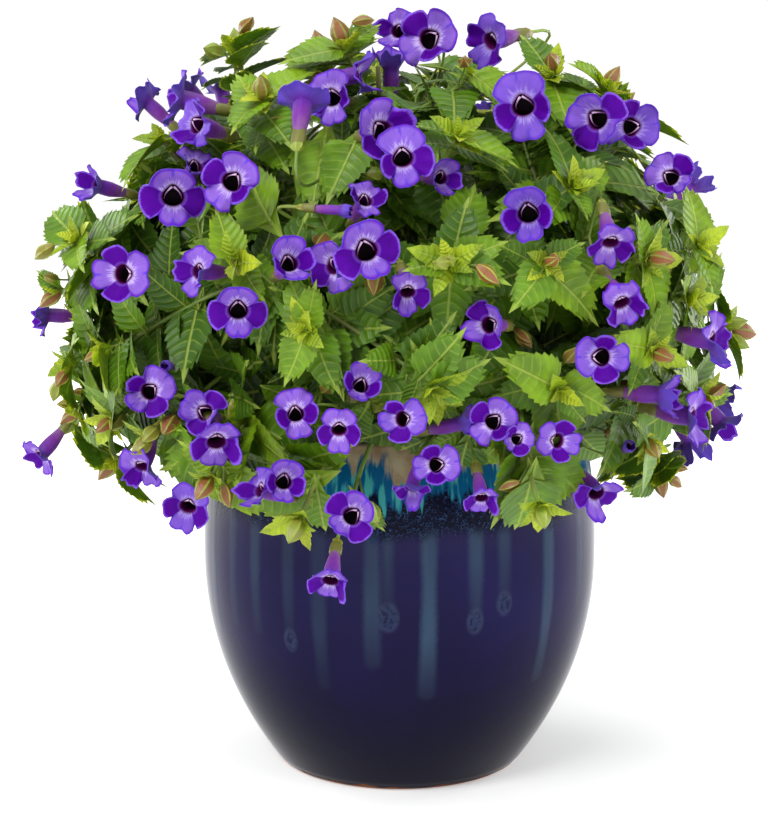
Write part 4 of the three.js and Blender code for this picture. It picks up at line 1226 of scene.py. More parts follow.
@dataclass(frozen=True)
class LeafForm:
    """A leaf: a stalk, and an oval blade with teeth that point to its tip.

    One row of rows: how far along the leaf it lies, its half width as a share of the widest one, and
    how far its edge leans to the tip, which makes the teeth.
    """

    rows: tuple[tuple[float, float, float], ...] = (
        (0, 0.05, 0), (0.10, 0.07, 0), (0.145, 0.60, 0), (0.22, 0.95, 0.015), (0.245, 0.87, 0),
        (0.33, 1.05, 0.02), (0.355, 0.95, 0), (0.44, 1.04, 0.02), (0.465, 0.91, 0), (0.55, 0.96, 0.025),
        (0.575, 0.82, 0), (0.66, 0.83, 0.025), (0.685, 0.69, 0), (0.77, 0.66, 0.025), (0.8, 0.5, 0),
        (0.89, 0.38, 0.02), (1, 0, 0))
    columns: int = 4
    thickness: float = 0.6
    quilt: float = 0.5
    rib_depth: float = -1.0
    field_height: float = 0.35

    def model(self) -> Shape:
        """Models the leaf flat, 1 mm wide to each side and 1 long, with its thickness in mm.

        Returns:
            The shape: x is the share of the half width, y of the length, and z the lift in mm.
        """
        start_clean()
        rows = len(self.rows) - 1
        bpy.ops.mesh.primitive_grid_add(x_subdivisions=self.columns, y_subdivisions=rows, size=2)
        thing = bpy.context.object
        points = get_points(thing)
        row = np.rint((points[:, 1] + 1) / 2 * rows).astype(int)
        shares, widths, leans = np.array(self.rows).T
        across = np.sign(points[:, 0]) * np.abs(points[:, 0]) ** 0.9
        aside = np.abs(across)
        u, share = across * widths[row], shares[row] + leans[row] * aside ** 3
        relief = np.where(aside < 0.1, self.rib_depth, self.field_height)
        relief = relief * (aside < 0.9) * (widths[row] > 0.3)
        set_points(thing, np.stack([u, share, self.quilt * relief], 1))
        set_mark(thing, "lay", np.stack([u, share, aside], 1))
        set_mark(thing, "along", share)
        inner = thing.vertex_groups.new(name="inner")
        edge = (aside > 0.99) | (row == 0) | (row == rows)
        inner.add(np.flatnonzero(~edge).tolist(), 1, "REPLACE")
        # Both sides get the same diagonals, so that they never cross when the leaf is bent.
        apply_modifier(thing, "TRIANGULATE")
        apply_modifier(thing, "SOLIDIFY", thickness=self.thickness, vertex_group="inner",
                       thickness_vertex_group=0, offset=-1)
        with editing(thing):
            bpy.ops.mesh.remove_doubles(threshold=1e-5)
            bpy.ops.mesh.dissolve_degenerate(threshold=1e-6)
        return Shape.of_object(thing, [Part.LEAF])


@dataclass
class Leaf:
    """A leaf in its place: the foot of its stalk, the ways it points and faces, and its form.

    droop is how far its tip hangs down, as a share of its length with the stalk.
    """

    base: Vec
    ahead: Vec
    up: Vec
    length: float
    droop: float

    FOLD = 0.32
    WIDTH_SHARE = 0.78
    THICK_AT = 44
    OUTLINE = ((0.3, 1), (0.5, 0.9), (0.75, 0.5), (1, 0))
    OUTLINE_HALF = 0.38

    def outline(self) -> Vec:
        """A few points that stand for its blade.

        Returns:
            The points, the tip last.
        """
        face = square_to(self.up, self.ahead)
        side = np.cross(face, self.ahead)
        points = []
        for share, width in self.OUTLINE:
            for way in (-1, 0, 1):
                aside = way * width * self.length * self.OUTLINE_HALF
                points.append(self.base + self.ahead * (share * self.length) + side * aside
                              + face * (self.FOLD * abs(aside) - self.droop * self.length * share ** 2))
        return np.array(points)

    def hang(self, shape: Shape, curl: float, fold: float = FOLD, width_share: float = WIDTH_SHARE) -> Shape:
        """Bends a flat leaf into this place.

        Args:
            shape: the flat leaf.
            curl: how far its tip turns sideways, as a share of the length.
            fold: how steeply its halves rise from the rib.
            width_share: its width as a share of its length.

        Returns:
            The leaf in its place.
        """
        face = square_to(self.up, self.ahead)
        side = np.cross(face, self.ahead)
        u, share, lift = shape.points.T
        aside = u * self.length * width_share / 2
        scale = self.length / self.THICK_AT
        fall = self.droop * self.length * share ** 2
        return shape.with_points(self.base + (share * self.length)[:, None] * self.ahead
                                 + (aside + curl * self.length * share ** 2)[:, None] * side
                                 + (lift * scale + fold * np.abs(aside) - fall)[:, None] * face)


@dataclass(frozen=True)
class CorollaForm:
    """The fused petals of a bloom: a tube that flares into four ruffled lobes.

    One row of edges is reach and lift of a lobe's edge in mm: right, upper, left, lower. One row of
    LOBES is a lobe's middle and half span in degrees, and how deep the notch at its tip is, as a share
    of the reach. The middle of the upper lobe is at 90 degrees.
    """

    edges: tuple[tuple[float, float], ...] = ((15.4, 1.6), (16.2, 2.4), (15.4, 1.6), (15.7, 4.6))
    columns: tuple[int, ...] = (11, 16, 11, 11)
    tube: tuple[tuple[float, float], ...] = (
        (0.3, -31.4), (1.9, -31), (2.6, -27), (3.5, -22), (4.5, -17), (5.5, -12), (5.9, -7.5), (6.0, -4.2),
        (6.2, -2.2))
    flare: tuple[float, ...] = (0.12, 0.26, 0.42, 0.58, 0.74, 0.88, 1)
    sinus: float = 0.78
    roundness: float = 2.3
    wall: float = 0.45
    ruffle: float = 0.9
    seed: int = 0
    closed: float = 0
    notch_width: float = 0.22
    full_reach: float = 16.5

    LOBES = ((-11, 39, 0.0), (90, 62, 0.06), (191, 39, 0.0), (270, 40, 0.08))

    def outline(self) -> tuple[Vec, Vec, Vec, Vec]:
        """The outer edge, column by column.

        Returns:
            Angles in radians, reach and lift in mm, and the place across the lobe from -1 to 1.
        """
        columns = []
        for (middle, span, notch), (reach, lift), count in zip(self.LOBES, self.edges, self.columns):
            q = np.arange(count) / count * 2 - 1
            bulge = (1 - np.abs(q) ** self.roundness) ** (1 / self.roundness)
            edge = reach * (self.sinus + (1 - self.sinus) * bulge)
            edge = edge * (1 - notch * np.exp(-(q / self.notch_width) ** 2))
            columns.append((np.radians(middle + span * q), edge, lift * (0.25 + 0.75 * bulge), q))
        return tuple(np.concatenate(rows) for rows in zip(*columns))

    def mouth(self, angles: Vec, height: float) -> Vec:
        """How the tube departs from round: taller than wide, and pointed at the upper lip.

        Args:
            angles: where round the tube, in radians.
            height: how far up, in mm.

        Returns:
            Shares of the tube's radius.
        """
        open_share = max(0.0, 1 + min(0, height + 2.2) / 12)
        return 1 + open_share * (0.24 * np.sin(angles) ** 8 * (np.sin(angles) > 0)
                                 - 0.14 * np.cos(angles) ** 2 - 0.27 * np.sin(angles) ** 2)

    def waves(self, angles: Vec, places: Vec, share: float) -> tuple[Vec, Vec, Vec]:
        """The ruffles of the lobes, the way their edges roll back, and how they overlap.

        Args:
            angles: where round the bloom, in radians.
            places: where across the lobe, from -1 to 1.
            share: how far out on the lobe.

        Returns:
            Lifts in mm: the ruffles, the roll of the edge, and the overlap.
        """
        ruffles = (np.sin(5 * angles + self.seed) + 0.7 * np.sin(9 * angles + 2.3 * self.seed)
                   + 0.5 * np.sin(14 * angles + 4.1 * self.seed)) * self.ruffle * share ** 2
        roll = (-2.8 * share ** 4 * np.clip(1.2 - np.abs(places), 0, 1)
                * (0.6 + 0.4 * np.cos(3 * angles + self.seed)))
        overlap = 1.5 * share ** 2 * np.abs(places) ** 3 * np.where(np.abs(np.cos(angles)) > 0.71, 1, -0.8)
        return ruffles, roll, overlap

    def model(self) -> Shape:
        """Models the corolla with its mouth at the origin, facing +Z, its upper lobe towards +Y.

        Returns:
            The shape: lay holds the flat place on the face and the distance from the edge, and along
            runs from 0 at the foot to 1 at the mouth and 2 at the edge.
        """
        sides = sum(self.columns)
        stations = [*self.tube, *((6.2 + 9 * share, -2.2 + 3 * share) for share in self.flare)]
        thing = draw_out(sides, stations)
        angles, reaches, lifts, places = self.outline()
        points, lay, along = [], [], []
        for i in range(len(stations)):
            share = 0 if i < len(self.tube) else self.flare[i - len(self.tube)]
            radius, height = self.tube[min(i, len(self.tube) - 1)]
            radii = lerp(np.full(sides, radius) * self.mouth(angles, height), reaches, share ** 0.9)
            ruffles, roll, overlap = self.waves(angles, places, share)
            heights = height + share * (lifts - height) + ruffles + roll + overlap
            radii = lerp(radii, np.minimum(radii, 4 + 2 * share), self.closed * share)
            heights = heights + self.closed * share * 9
            points.append(np.stack([radii * np.cos(angles), radii * np.sin(angles), heights], 1))
            flat = lerp(radius, reaches, share) / self.full_reach
            inward = np.clip(1.15 - np.abs(places) ** 3, 0, 1) ** 0.5
            lay.append(np.stack([flat * np.cos(angles), flat * np.sin(angles),
                                 (1 - share) * (reaches - self.tube[-1][0]) * inward], 1))
            along.append(np.full(sides, (height + 31) / 29 if share == 0 else 1 + share))
        set_points(thing, np.concatenate(points))
        set_mark(thing, "lay", np.concatenate(lay))
        set_mark(thing, "along", np.concatenate(along))
        for name in ("face", "back"):
            thing.data.materials.append(bpy.data.materials.get(name) or bpy.data.materials.new(name))
        with editing(thing):
            bpy.ops.mesh.flip_normals()
        apply_modifier(thing, "SOLIDIFY", thickness=self.wall, offset=0, material_offset=1,
                       material_offset_rim=0)
        return Shape.of_object(thing, [Part.PETAL_BACK, Part.PETAL_FACE])


@dataclass(frozen=True)
class CalyxForm:
    """The winged calyx that a bloom sits in, or that closes round a bud.

    profile: radius and height of each station in mm; the ribs stand out by their share of the radius.
    """

    profile: tuple[tuple[float, float], ...]
    ribs: int = 5
    rib_share: float = 0.3
    groove: float = 0.12
    sides: int = 20
    flatness: float = 0.12

    def model(self) -> Shape:
        """Models the calyx along +Z.

        Returns:
            The shape: lay holds the wave of the ribs, 1 for the inner wall, and the share of the height.
        """
        thing = draw_out(self.sides, self.profile)
        points = get_points(thing)
        turn = np.arctan2(points[:, 1], points[:, 0])
        along = points[:, 2] / self.profile[-1][1]
        wave = np.cos(self.ribs * turn)
        grow = np.sin(np.clip(along, 0, 1) * math.pi) ** 0.6
        radii = (np.hypot(points[:, 0], points[:, 1])
                 * (1 - self.groove * grow + self.rib_share * np.maximum(wave, 0) ** 2 * grow))
        set_points(thing, np.stack([radii * np.cos(turn) * (1 + self.flatness),
                                    radii * np.sin(turn) * (1 - self.flatness), points[:, 2]], 1))
        brim = int(np.argmax([height for _, height in self.profile]))
        inside = np.repeat(np.arange(len(self.profile)) > brim, self.sides).astype(float)
        set_mark(thing, "lay", np.stack([wave, inside, along], 1))
        set_mark(thing, "along", along)
        with editing(thing):
            bpy.ops.mesh.region_to_loop()
            bpy.ops.mesh.edge_face_add()
            bpy.ops.mesh.select_all(action="SELECT")
            close_ends()
        return Shape.of_object(thing, [Part.CALYX])


class Flower:
    """Whole blooms: corolla, stamens, calyx and stalk."""

    # One form's ruffle, then reach and lift of its right, upper, left and lower lobe in mm.
    VARIANTS = (
        (1.2, (15.6, 5.5), (17.4, 0.5), (15.8, 4.5), (16.2, 6.5)),
        (1.5, (13.6, 10.5), (17.4, -1.5), (13.8, 9.5), (16.6, 4.0)),
        (1.6, (16.0, -2.0), (14.6, 11.0), (16.4, 1.5), (13.2, 12.5)),
        (1.4, (12.4, 13.0), (16.4, 5.0), (15.6, 4.5), (16.8, -1.0)),
        (1.7, (16.2, 3.0), (17.4, -2.5), (12.4, 12.5), (13.6, 10.5)),
        (1.3, (12.8, 11.0), (14.6, 10.5), (12.8, 11.0), (13.4, 12.5)))
    CALYX = ((0.9, 0), (1.6, 0.8), (2.6, 3), (3.5, 6), (4.0, 9.5), (3.9, 12.5), (3.7, 14.8), (3.5, 15.2),
             (3.2, 14), (2.4, 9.5), (0.8, 5.3))
    # The stamens' arch, and how thick they are along it.
    ARCH = ((4.2, -1.5, -9), (4.3, 0.6, -5.0), (2.8, 2.8, -2.6), (0.5, 4.7, -1.9))
    STAMEN_RADII = (0.28, 0.3, 0.32, 0.32, 0.32, 0.36, 0.5, 0.6)
    # A disc that closes the tube deep down, coloured near-black: painted shade where the tube is only in
    # shadow.
    THROAT_RADIUS, THROAT_HEIGHTS, THROAT_TONE = 4.7, (-11.4, -10.6), 0.3
    HALF_OPEN, LEAST_CALYX, CALYX_SIZE = 0.5, 0.7, 1.02
    STALK_STEPS = 10

    def __init__(self) -> None:
        """Models what the blooms are put together from."""
        self.corollas = [CorollaForm(edges=tuple(edges), seed=seed, ruffle=ruffle).model()
                         for seed, (ruffle, *edges) in enumerate(self.VARIANTS)]
        self.closing = CorollaForm(seed=5, closed=1).model()
        self.calyx = CalyxForm(self.CALYX, rib_share=0.42).model()
        # The near-black disc deep in the tube is painted shade, not a part of the flower.
        throat = sweep([np.array((0, 0.3, z)) for z in self.THROAT_HEIGHTS], [self.THROAT_RADIUS] * 2, 20)
        throat.parts[:] = Part.PETAL_FACE.value
        throat.along[:] = self.THROAT_TONE
        self.inside = [throat]
        line = sample_path([np.array(p, float) for p in self.ARCH], len(self.STAMEN_RADII) - 1)
        for way in (1, -1):
            rod = sweep([p * (way, 1, 1) for p in line], self.STAMEN_RADII, 6)
            rod.parts[:] = Part.STAMEN.value
            self.inside.append(rod)

    def grow(self, collector: Collector, bloom: Bloom, root: Vec) -> None:
        """Adds a bloom and its stalk.

        Args:
            collector: what the copies go into.
            bloom: the bloom's place, size and direction.
            root: where its stalk starts.
        """
        axes = (bloom.side, bloom.up, bloom.ahead)
        stretch = bloom.length / Bloom.FULL_LENGTH
        tone = draw(bloom.number, 51)
        shapes = [self.corollas[bloom.number % len(self.corollas)], *self.inside]
        for shape in [self.closing] if bloom.scale < self.HALF_OPEN else shapes:
            collector.add(shape.placed(bloom.place, *axes, bloom.scale, stretch), tone)
        size = max(self.LEAST_CALYX, min(1.0, bloom.scale)) * self.CALYX_SIZE
        collector.add(self.calyx.placed(bloom.foot, *axes, size), 0.05 + 0.4 * tone)
        line = sample_path([root, bloom.stalk[1], bloom.foot + bloom.ahead * 0.6], self.STALK_STEPS)
        radii = [0.8 + 0.15 * (i / self.STALK_STEPS) for i in range(self.STALK_STEPS + 1)]
        collector.add(sweep(line, radii, 7), 0.5 + 0.4 * tone)


class Growth:
    """Stems with their twigs, leaves, buds and young tips."""

    # What carries a pair of leaves, and how far along it. The later rows are smaller leaves.
    PAIRS = (("shoots", 1), ("stems", 1), ("sprays", 0.8), ("shoots", 0.7), ("stems", 0.93), ("sprays", 0.5),
             ("shoots", 0.42))
    MORE_PAIRS = (("shoots", 0.86), ("stems", 0.84), ("sprays", 0.66), ("shoots", 0.56), ("stems", 0.74),
                  ("sprays", 0.34), ("shoots", 0.28), ("stems", 0.62), ("stems", 0.5), ("sprays", 0.93),
                  ("stems", 0.89), ("shoots", 0.93), ("shoots", 0.78), ("stems", 0.79), ("sprays", 0.58),
                  ("sprays", 0.42), ("stems", 0.68), ("shoots", 0.49), ("sprays", 0.73), ("stems", 0.97))
    PLAIN_ROWS = ((0, 0.05, 0), (0.13, 0.07, 0), (0.26, 0.85, 0), (0.36, 1, 0.02), (0.41, 0.84, 0),
                  (0.56, 0.9, 0.03), (0.61, 0.66, 0), (0.80, 0.5, 0.03), (1, 0, 0))
    BUD = ((0.8, 0), (1.6, 0.7), (3.0, 3), (3.9, 6), (4.0, 8.5), (3.2, 11.5), (1.9, 14), (0.7, 15.8),
           (0.15, 16.6))
    # The stretch of the rim that the picture shows bare: its middle and half size in pixels.
    BARE_RIM = ((374, 27), (474, 28))
    # Lengths and droops of paired leaves, how far out of the mound they may reach, and what is plain.
    LENGTHS, DROOPS = (30, 42), (0.08, 0.3)
    MAIN_REACH, MAIN_LEVELS, REACH = 1.13, 3, 1.03
    TRIES, SHORTEN, TIP_SHORTER = 4, 0.8, 0.9
    PLAIN_BELOW = 0.55
    # The leaves in the gaps: how many spots are tried, how far from a leaf a spot has to be, how far
    # from a stem it may be, and how deep it lies.
    FILL_SPOTS, FILL_GAP, FILL_FARTHEST, FILL_DEPTH = 700, 24, 85, 0.9
    FILL_LENGTHS, FILL_DROOP, FILL_TURN = (33, 44), 0.15, 2.39996
    # The leaves over the rim, and the steps in which all stems are walked for a place to start.
    RIM_FARTHEST, RIM_DROOP = 62, 0.1
    WALK = 5
    # The shoots that end in a bud, the leaves of a tuft, and the buds beside the shoots.
    BUD_SHARE, TUFT, TUFT_DROOP = 0.55, 6, 0.1
    SIDE_BUD_SHARE, BUD_LENGTH = 0.62, 16
    THIN_STALK, STALK_TONE = 0.6, 0.6

    def __init__(self, plant: Plant) -> None:
        """Models the leaf and the bud, and sorts the carriers of leaves.

        Args:
            plant: the layout.
        """
        self.plant = plant
        self.fine = LeafForm().model()
        self.plain = LeafForm(rows=self.PLAIN_ROWS, columns=2).model()
        self.bud = CalyxForm(self.BUD, rib_share=0.34).model()
        self.carriers: dict[str, list] = {"shoots": plant.shoots, "stems": plant.stems,
                                          "sprays": [spray.twig for spray in plant.sprays]}
        self.seen = [bloom for spray in plant.sprays if spray.sightline for bloom in spray.blooms]
        self.collectors = [Collector() for _ in plant.stems]
        self.middles: list[Vec] = []

    def clear_of_blooms(self, points: Vec) -> bool:
        """Tests a leaf's points against the blooms.

        Args:
            points: the points.

        Returns:
            Whether they neither pierce a bloom nor hide one that the picture shows.
        """
        mouths = self.plant.mouths
        forward, aside = mouths.around(points)
        mouth = (np.abs(forward - 2) < 6 * mouths.scales) & (aside < mouths.widths / 2 + 1)
        tube = (forward < 0) & (forward > -mouths.lengths) & (aside < 6 * mouths.scales)
        if (mouth | tube).any():
            return False
        eye = np.array(SIGHT.eye)
        for bloom in self.seen:
            sight = bloom.place - eye
            distance = np.linalg.norm(sight)
            sight /= distance
            ahead = (points - eye) @ sight
            off = np.linalg.norm(points - eye - ahead[:, None] * sight, axis=1)
            if ((ahead < distance) & (off < bloom.width * 0.4)).any():
                return False
        return True

    def clear_of_rim(self, points: Vec) -> bool:
        """Tests a leaf's points against the stretch of the rim that the picture shows bare.

        Args:
            points: the points.

        Returns:
            Whether none of them stands before it.
        """
        pixels = np.array([SIGHT.pixel(p) for p in points])
        (across, half_across), (down, half_down) = self.BARE_RIM
        return not ((abs(pixels[:, 0] - across) < half_across) & (abs(pixels[:, 1] - down) < half_down)
                    & (points[:, 1] < 0)).any()

    @staticmethod
    def clear_of_pot(points: Vec) -> bool:
        """Tests a leaf's points against the pot's wall and the soil.

        Args:
            points: the points.

        Returns:
            Whether all of them keep out.
        """
        for x, y, z in points:
            radius, inner = math.hypot(x, y), POT.inside(min(z, POT.height))
            outer = POT.radius(max(0.0, min(z, POT.height)))
            if (z < POT.height + 1 and inner - 1 < radius < outer + 1) or (
                    radius < inner and z < POT.soil_crown + 1):
                return False
        return True

    def pair(self, carrier: Stem | Twig, share: float, item: int, calm: float) -> list[Leaf]:
        """A pair of leaves that face each other across their carrier.

        Args:
            carrier: the stem or twig.
            share: how far along it they sit.
            item: the pair's seed.
            calm: how far the leaves stray from facing straight out.

        Returns:
            The two leaves.
        """
        point, ahead = along_line(carrier.laid, share * length_of(carrier.laid) - 1.3)
        face = unit(MOUND.out(point) + (UP * 0.4 + stray(item, 31)) * calm)
        level = unit(np.cross(UP, face))
        rise = np.cross(face, level)
        heading = between(0, math.pi, item, 34)
        leaves = []
        for side, half in enumerate((0, math.pi)):
            spread = toward(level, rise, heading + half) - UP * 0.2
            leaves.append(Leaf(point, unit(square_to(spread, ahead) + ahead * 0.3), face,
                               between(*self.LENGTHS, item * 2 + side, 35),
                               between(*self.DROOPS, item * 2 + side, 36)))
        return leaves

    def leafage(self) -> int:
        """Hangs all the paired leaves.

        Returns:
            How many there are.
        """
        for level, (kind, share) in enumerate((*self.PAIRS, *self.MORE_PAIRS)):
            extra = level >= len(self.PAIRS)
            reach = self.MAIN_REACH if level < self.MAIN_LEVELS else self.REACH
            young = 0.1 if share >= 0.93 and kind != "sprays" else 0
            for i, carrier in enumerate(self.carriers[kind]):
                for k, leaf in enumerate(self.pair(carrier, share, level * 100 + i, 0.5 if extra else 1)):
                    item = (level * 100 + i) * 2 + k
                    if extra:
                        leaf.length *= between(0.7, 1, item, 61)
                    if kind == "shoots" and share == 1:
                        leaf.length *= self.TIP_SHORTER
                    if not self.fits(leaf, reach):
                        continue
                    self.middles.append(leaf.base + leaf.ahead * (leaf.length / 2))
                    out = MOUND.share(self.middles[-1])
                    # The green darkens the deeper the leaf lies in the mound, which is painted shade. The
                    # lime of young tips and the drawn spread are the leaves' own colour.
                    tone = 0.1 + 0.33 * min(1.2, out) + young + between(-0.18, 0.16, item, 62)
                    self.collectors[carrier.stem.number].add(
                        leaf.hang(self.fine if out > self.PLAIN_BELOW else self.plain,
                                  between(-0.12, 0.12, item, 63), between(0.12, 0.34, item, 64)), tone)
        return len(self.middles)

    def fits(self, leaf: Leaf, reach: float) -> bool:
        """Shortens a leaf until it keeps clear of all that it may not touch or hide.

        Args:
            leaf: the leaf.
            reach: how far out its tip may be, as a share of the mound's own size.

        Returns:
            Whether it then fits.
        """
        for _ in range(self.TRIES):
            points = leaf.outline()
            if (MOUND.share(points[-1]) < reach and self.clear_of_pot(points)
                    and self.clear_of_blooms(points) and self.clear_of_rim(points)):
                return True
            leaf.length *= self.SHORTEN
        return False

    def spots(self) -> tuple[list[int], Vec]:
        """Finds where a leaf could start, along all stems and twigs.

        Returns:
            The numbers of the stems, and the points.
        """
        numbers, places = [], []
        for carrier in [*self.plant.stems, *(twig for stem in self.plant.stems for twig in stem.twigs)]:
            for k in range(1, int(length_of(carrier.laid) / self.WALK)):
                point = along_line(carrier.laid, self.WALK * k)[0]
                if point[2] > POT.height + 4 or math.hypot(point[0], point[1]) > POT.belly_radius + 6:
                    numbers.append(carrier.stem.number)
                    places.append(point)
        return numbers, np.array(places)

    def fill(self) -> int:
        """Hangs leaves on long stalks where the mound would show a hole.

        Returns:
            How many there are.
        """
        numbers, places = self.spots()
        middles = [*self.middles, *self.plant.mouths.places]
        before = len(middles)
        top, bottom = MOUND.centre + MOUND.up * 0.99, MOUND.centre - MOUND.down * 0.72
        for item in range(self.FILL_SPOTS):
            spot = MOUND.point(lerp(top, bottom, (item + 0.5) / self.FILL_SPOTS), item * self.FILL_TURN,
                               self.FILL_DEPTH - 0.12 * draw(item, 91))
            if np.linalg.norm(np.array(middles) - spot, axis=1).min() < self.FILL_GAP:
                continue
            out = MOUND.out(spot)
            away = np.linalg.norm(places - spot, axis=1) + 30 * ((places - spot) @ out > 0)
            best = int(away.argmin())
            start, sway = places[best], stray(item, 92)
            if away[best] > self.FILL_FARTHEST:
                continue
            ahead = unit(square_to(spot - start + sway * 30 - UP * 12, out))
            length = between(*self.FILL_LENGTHS, item, 95)
            base = spot - ahead * (length / 2)
            leaf = Leaf(base, ahead, unit(out + UP * 0.3 + sway * 0.8), length, self.FILL_DROOP)
            points = leaf.outline()
            if not (self.clear_of_pot(points) and self.clear_of_blooms(points) and self.clear_of_rim(points)):
                continue
            middles.append(spot)
            collector = self.collectors[numbers[best]]
            self.stalk(collector, start, lerp(start, base, 0.6) - ahead * 4, base, base + ahead * 3)
            collector.add(leaf.hang(self.fine, between(-0.1, 0.1, item, 96), 0.25),
                          between(0.28, 0.62, item, 97))
        return len(middles) - before

    def stalk(self, collector: Collector, *path: Vec) -> None:
        """Lays a thin stalk along a curve."""
        collector.add(sweep(sample_path(path, 6), [self.THIN_STALK] * 7, 6), self.STALK_TONE)

    def rim_leaves(self) -> int:
        """Hangs the leaves that the picture shows over the rim.

        Returns:
            How many there are.
        """
        numbers, places = self.spots()
        count = 0
        for item, (across, down, depth, length) in enumerate(SEEN_LEAVES):
            tip, _ = SIGHT.on_mound(across, down, depth)
            away = np.linalg.norm(places - tip, axis=1)
            cost = np.abs(away - length) + 0.7 * np.maximum(0, tip[2] + 8 - places[:, 2])
            best = int(cost.argmin())
            if away[best] > self.RIM_FARTHEST:
                continue
            up = unit(MOUND.out(tip) + UP * 0.25 + RIGHT * between(-0.4, 0.4, item, 65))
            leaf = Leaf(places[best], (tip - places[best]) / away[best], up, away[best], self.RIM_DROOP)
            points = leaf.outline()
            if not self.clear_of_blooms(points) or not self.clear_of_rim(points):
                continue
            self.collectors[numbers[best]].add(leaf.hang(self.fine, between(-0.1, 0.1, item, 66), 0.25),
                                               between(0.4, 0.72, item, 67))
            count += 1
        return count

    def tips(self) -> None:
        """Closes shoots with buds or with tufts of young leaves."""
        ends = [(shoot, i, draw(i, 41) < self.BUD_SHARE) for i, shoot in enumerate(self.plant.shoots)]
        ends += [(stem, 100 + i, False) for i, stem in enumerate(self.plant.stems)]
        for carrier, item, bud in ends:
            tip = carrier.laid[-1]
            ahead = unit(carrier.laid[-1] - carrier.laid[-2])
            collector = self.collectors[carrier.stem.number]
            side = square_to(ASKEW, ahead)
            up = np.cross(ahead, side)
            if bud:
                collector.add(self.bud.placed(tip - ahead, side, up, ahead, between(0.85, 1.1, item, 71)),
                              draw(item, 72))
            for k in range(self.TUFT):
                lean = 1.2 + 0.1 * k if bud else 0.35 + 0.22 * k
                way = unit(ahead + toward(side, up, k * 2.4 + item) * lean)
                length = between(9, 14, item * 7 + k, 73) * (1 + 0.16 * k)
                leaf = Leaf(tip, way, unit(ahead - way * 0.3 + MOUND.out(tip) * 0.2), length, self.TUFT_DROOP)
                if self.clear_of_blooms(leaf.outline()):
                    leaf.base = tip - ahead * (0.8 * k)
                    collector.add(leaf.hang(self.plain, 0, width_share=0.62),
                                  0.86 + between(-0.12, 0.12, item * 7 + k, 74))

    def side_buds(self) -> None:
        """Buds on stalks of their own, beside the ends of the shoots and sprays."""
        for i, twig in enumerate([*self.plant.shoots, *self.carriers["sprays"]]):
            for item in (300 + 2 * i, 301 + 2 * i):
                if draw(item, 75) > self.SIDE_BUD_SHARE:
                    continue
                base, ahead = along_line(twig.laid, length_of(twig.laid) * between(0.72, 0.97, item, 76))
                drawn = stray(item, 77)
                out = unit(MOUND.out(base) + drawn * 1.5)
                bend = base + unit(ahead + out) * 7
                end = base + unit(ahead + out * 2) * between(12, 20, item, 80)
                way = unit(out + drawn + UP * between(-1, 0.5, item, 82))
                tip = end + way * self.BUD_LENGTH
                points = np.array([bend, end, end + way * (self.BUD_LENGTH / 2), tip])
                if MOUND.share(tip) > 1.2 or not (self.clear_of_blooms(points) and self.clear_of_pot(points)):
                    continue
                collector = self.collectors[twig.stem.number]
                self.stalk(collector, base, bend, end, end + way)
                side = square_to(ASKEW, way)
                bud = self.bud.placed(end, side, np.cross(way, side), way, between(0.7, 1.12, item, 83))
                collector.add(bud, draw(item, 84))

    def rods(self) -> None:
        """Lays the stems and twigs."""
        for stem in self.plant.stems:
            collector = self.collectors[stem.number]
            line = [stem.line[0], *sample_path(stem.path, 28)]
            radii = [lerp(StemRule.radius, StemRule.tip_radius, i / (len(line) - 1))
                     for i in range(len(line))]
            collector.add(sweep(line, radii, 12, 0.1), 0.25)
            for twig in stem.twigs:
                path = sample_path(twig.path, max(8, int(length_of(twig.line) / 6)))
                rods = [TwigRule.radius * (1.15 if i == 0 else 1) for i in range(len(path))]
                collector.add(sweep(path, rods, 8, 0.1), 0.45 + 0.3 * draw(twig.number, 81))


# How the finishes are written.

class Field:
    """A value that changes over a surface. Sums of fields add the nodes that work them out."""

    def __init__(self, graph: "Graph", socket: bpy.types.NodeSocket) -> None:
        """Takes an output of one of a graph's nodes."""
        self.graph, self.socket = graph, socket

    def __add__(self, other: "Value") -> "Field":
        """The sum with another value."""
        return self.graph.math("ADD", self, other)

    def __sub__(self, other: "Value") -> "Field":
        """What is left when another value is taken away."""
        return self.graph.math("SUBTRACT", self, other)

    def __mul__(self, other: "Value") -> "Field":
        """The product with another value."""
        return self.graph.math("MULTIPLY", self, other)

    def __abs__(self) -> "Field":
        """The value without its sign."""
        return self.graph.math("ABSOLUTE", self)

    def scaled(self, factor: float, offset: "Value") -> "Field":
        """The value times a factor, plus an offset."""
        return self.graph.math("MULTIPLY_ADD", self, factor, offset)

    def step(self, low: float, high: float) -> "Field":
        """Rises smoothly from 0 at low to 1 at high.

        Args:
            low: where it is 0.
            high: where it is 1, which may be below low.

        Returns:
            The step.
        """
        ends = (0.0, 1.0) if low < high else (1.0, 0.0)
        inputs = (self, min(low, high), max(low, high), *ends)
        return self.graph.out("ShaderNodeMapRange", dict(enumerate(inputs)), interpolation_type="SMOOTHSTEP")

    def mix(self, first: "Value", second: "Value") -> "Field":
        """The colour that lies this share of the way from one to another."""
        return self.graph.out("ShaderNodeMix", {0: self, 6: first, 7: second}, 2, data_type="RGBA")


# A number, a vector, a colour's code, or what changes over the surface.
Value = float | tuple | str | Field


def srgb(code: str) -> tuple[float, float, float, float]:
    """A colour from its hexadecimal code, as the shader wants it."""
    parts = [int(code[i:i + 2], 16) / 255 for i in (1, 3, 5)]
    return (*(c / 12.92 if c <= 0.04045 else ((c + 0.055) / 1.055) ** 2.4 for c in parts), 1.0)


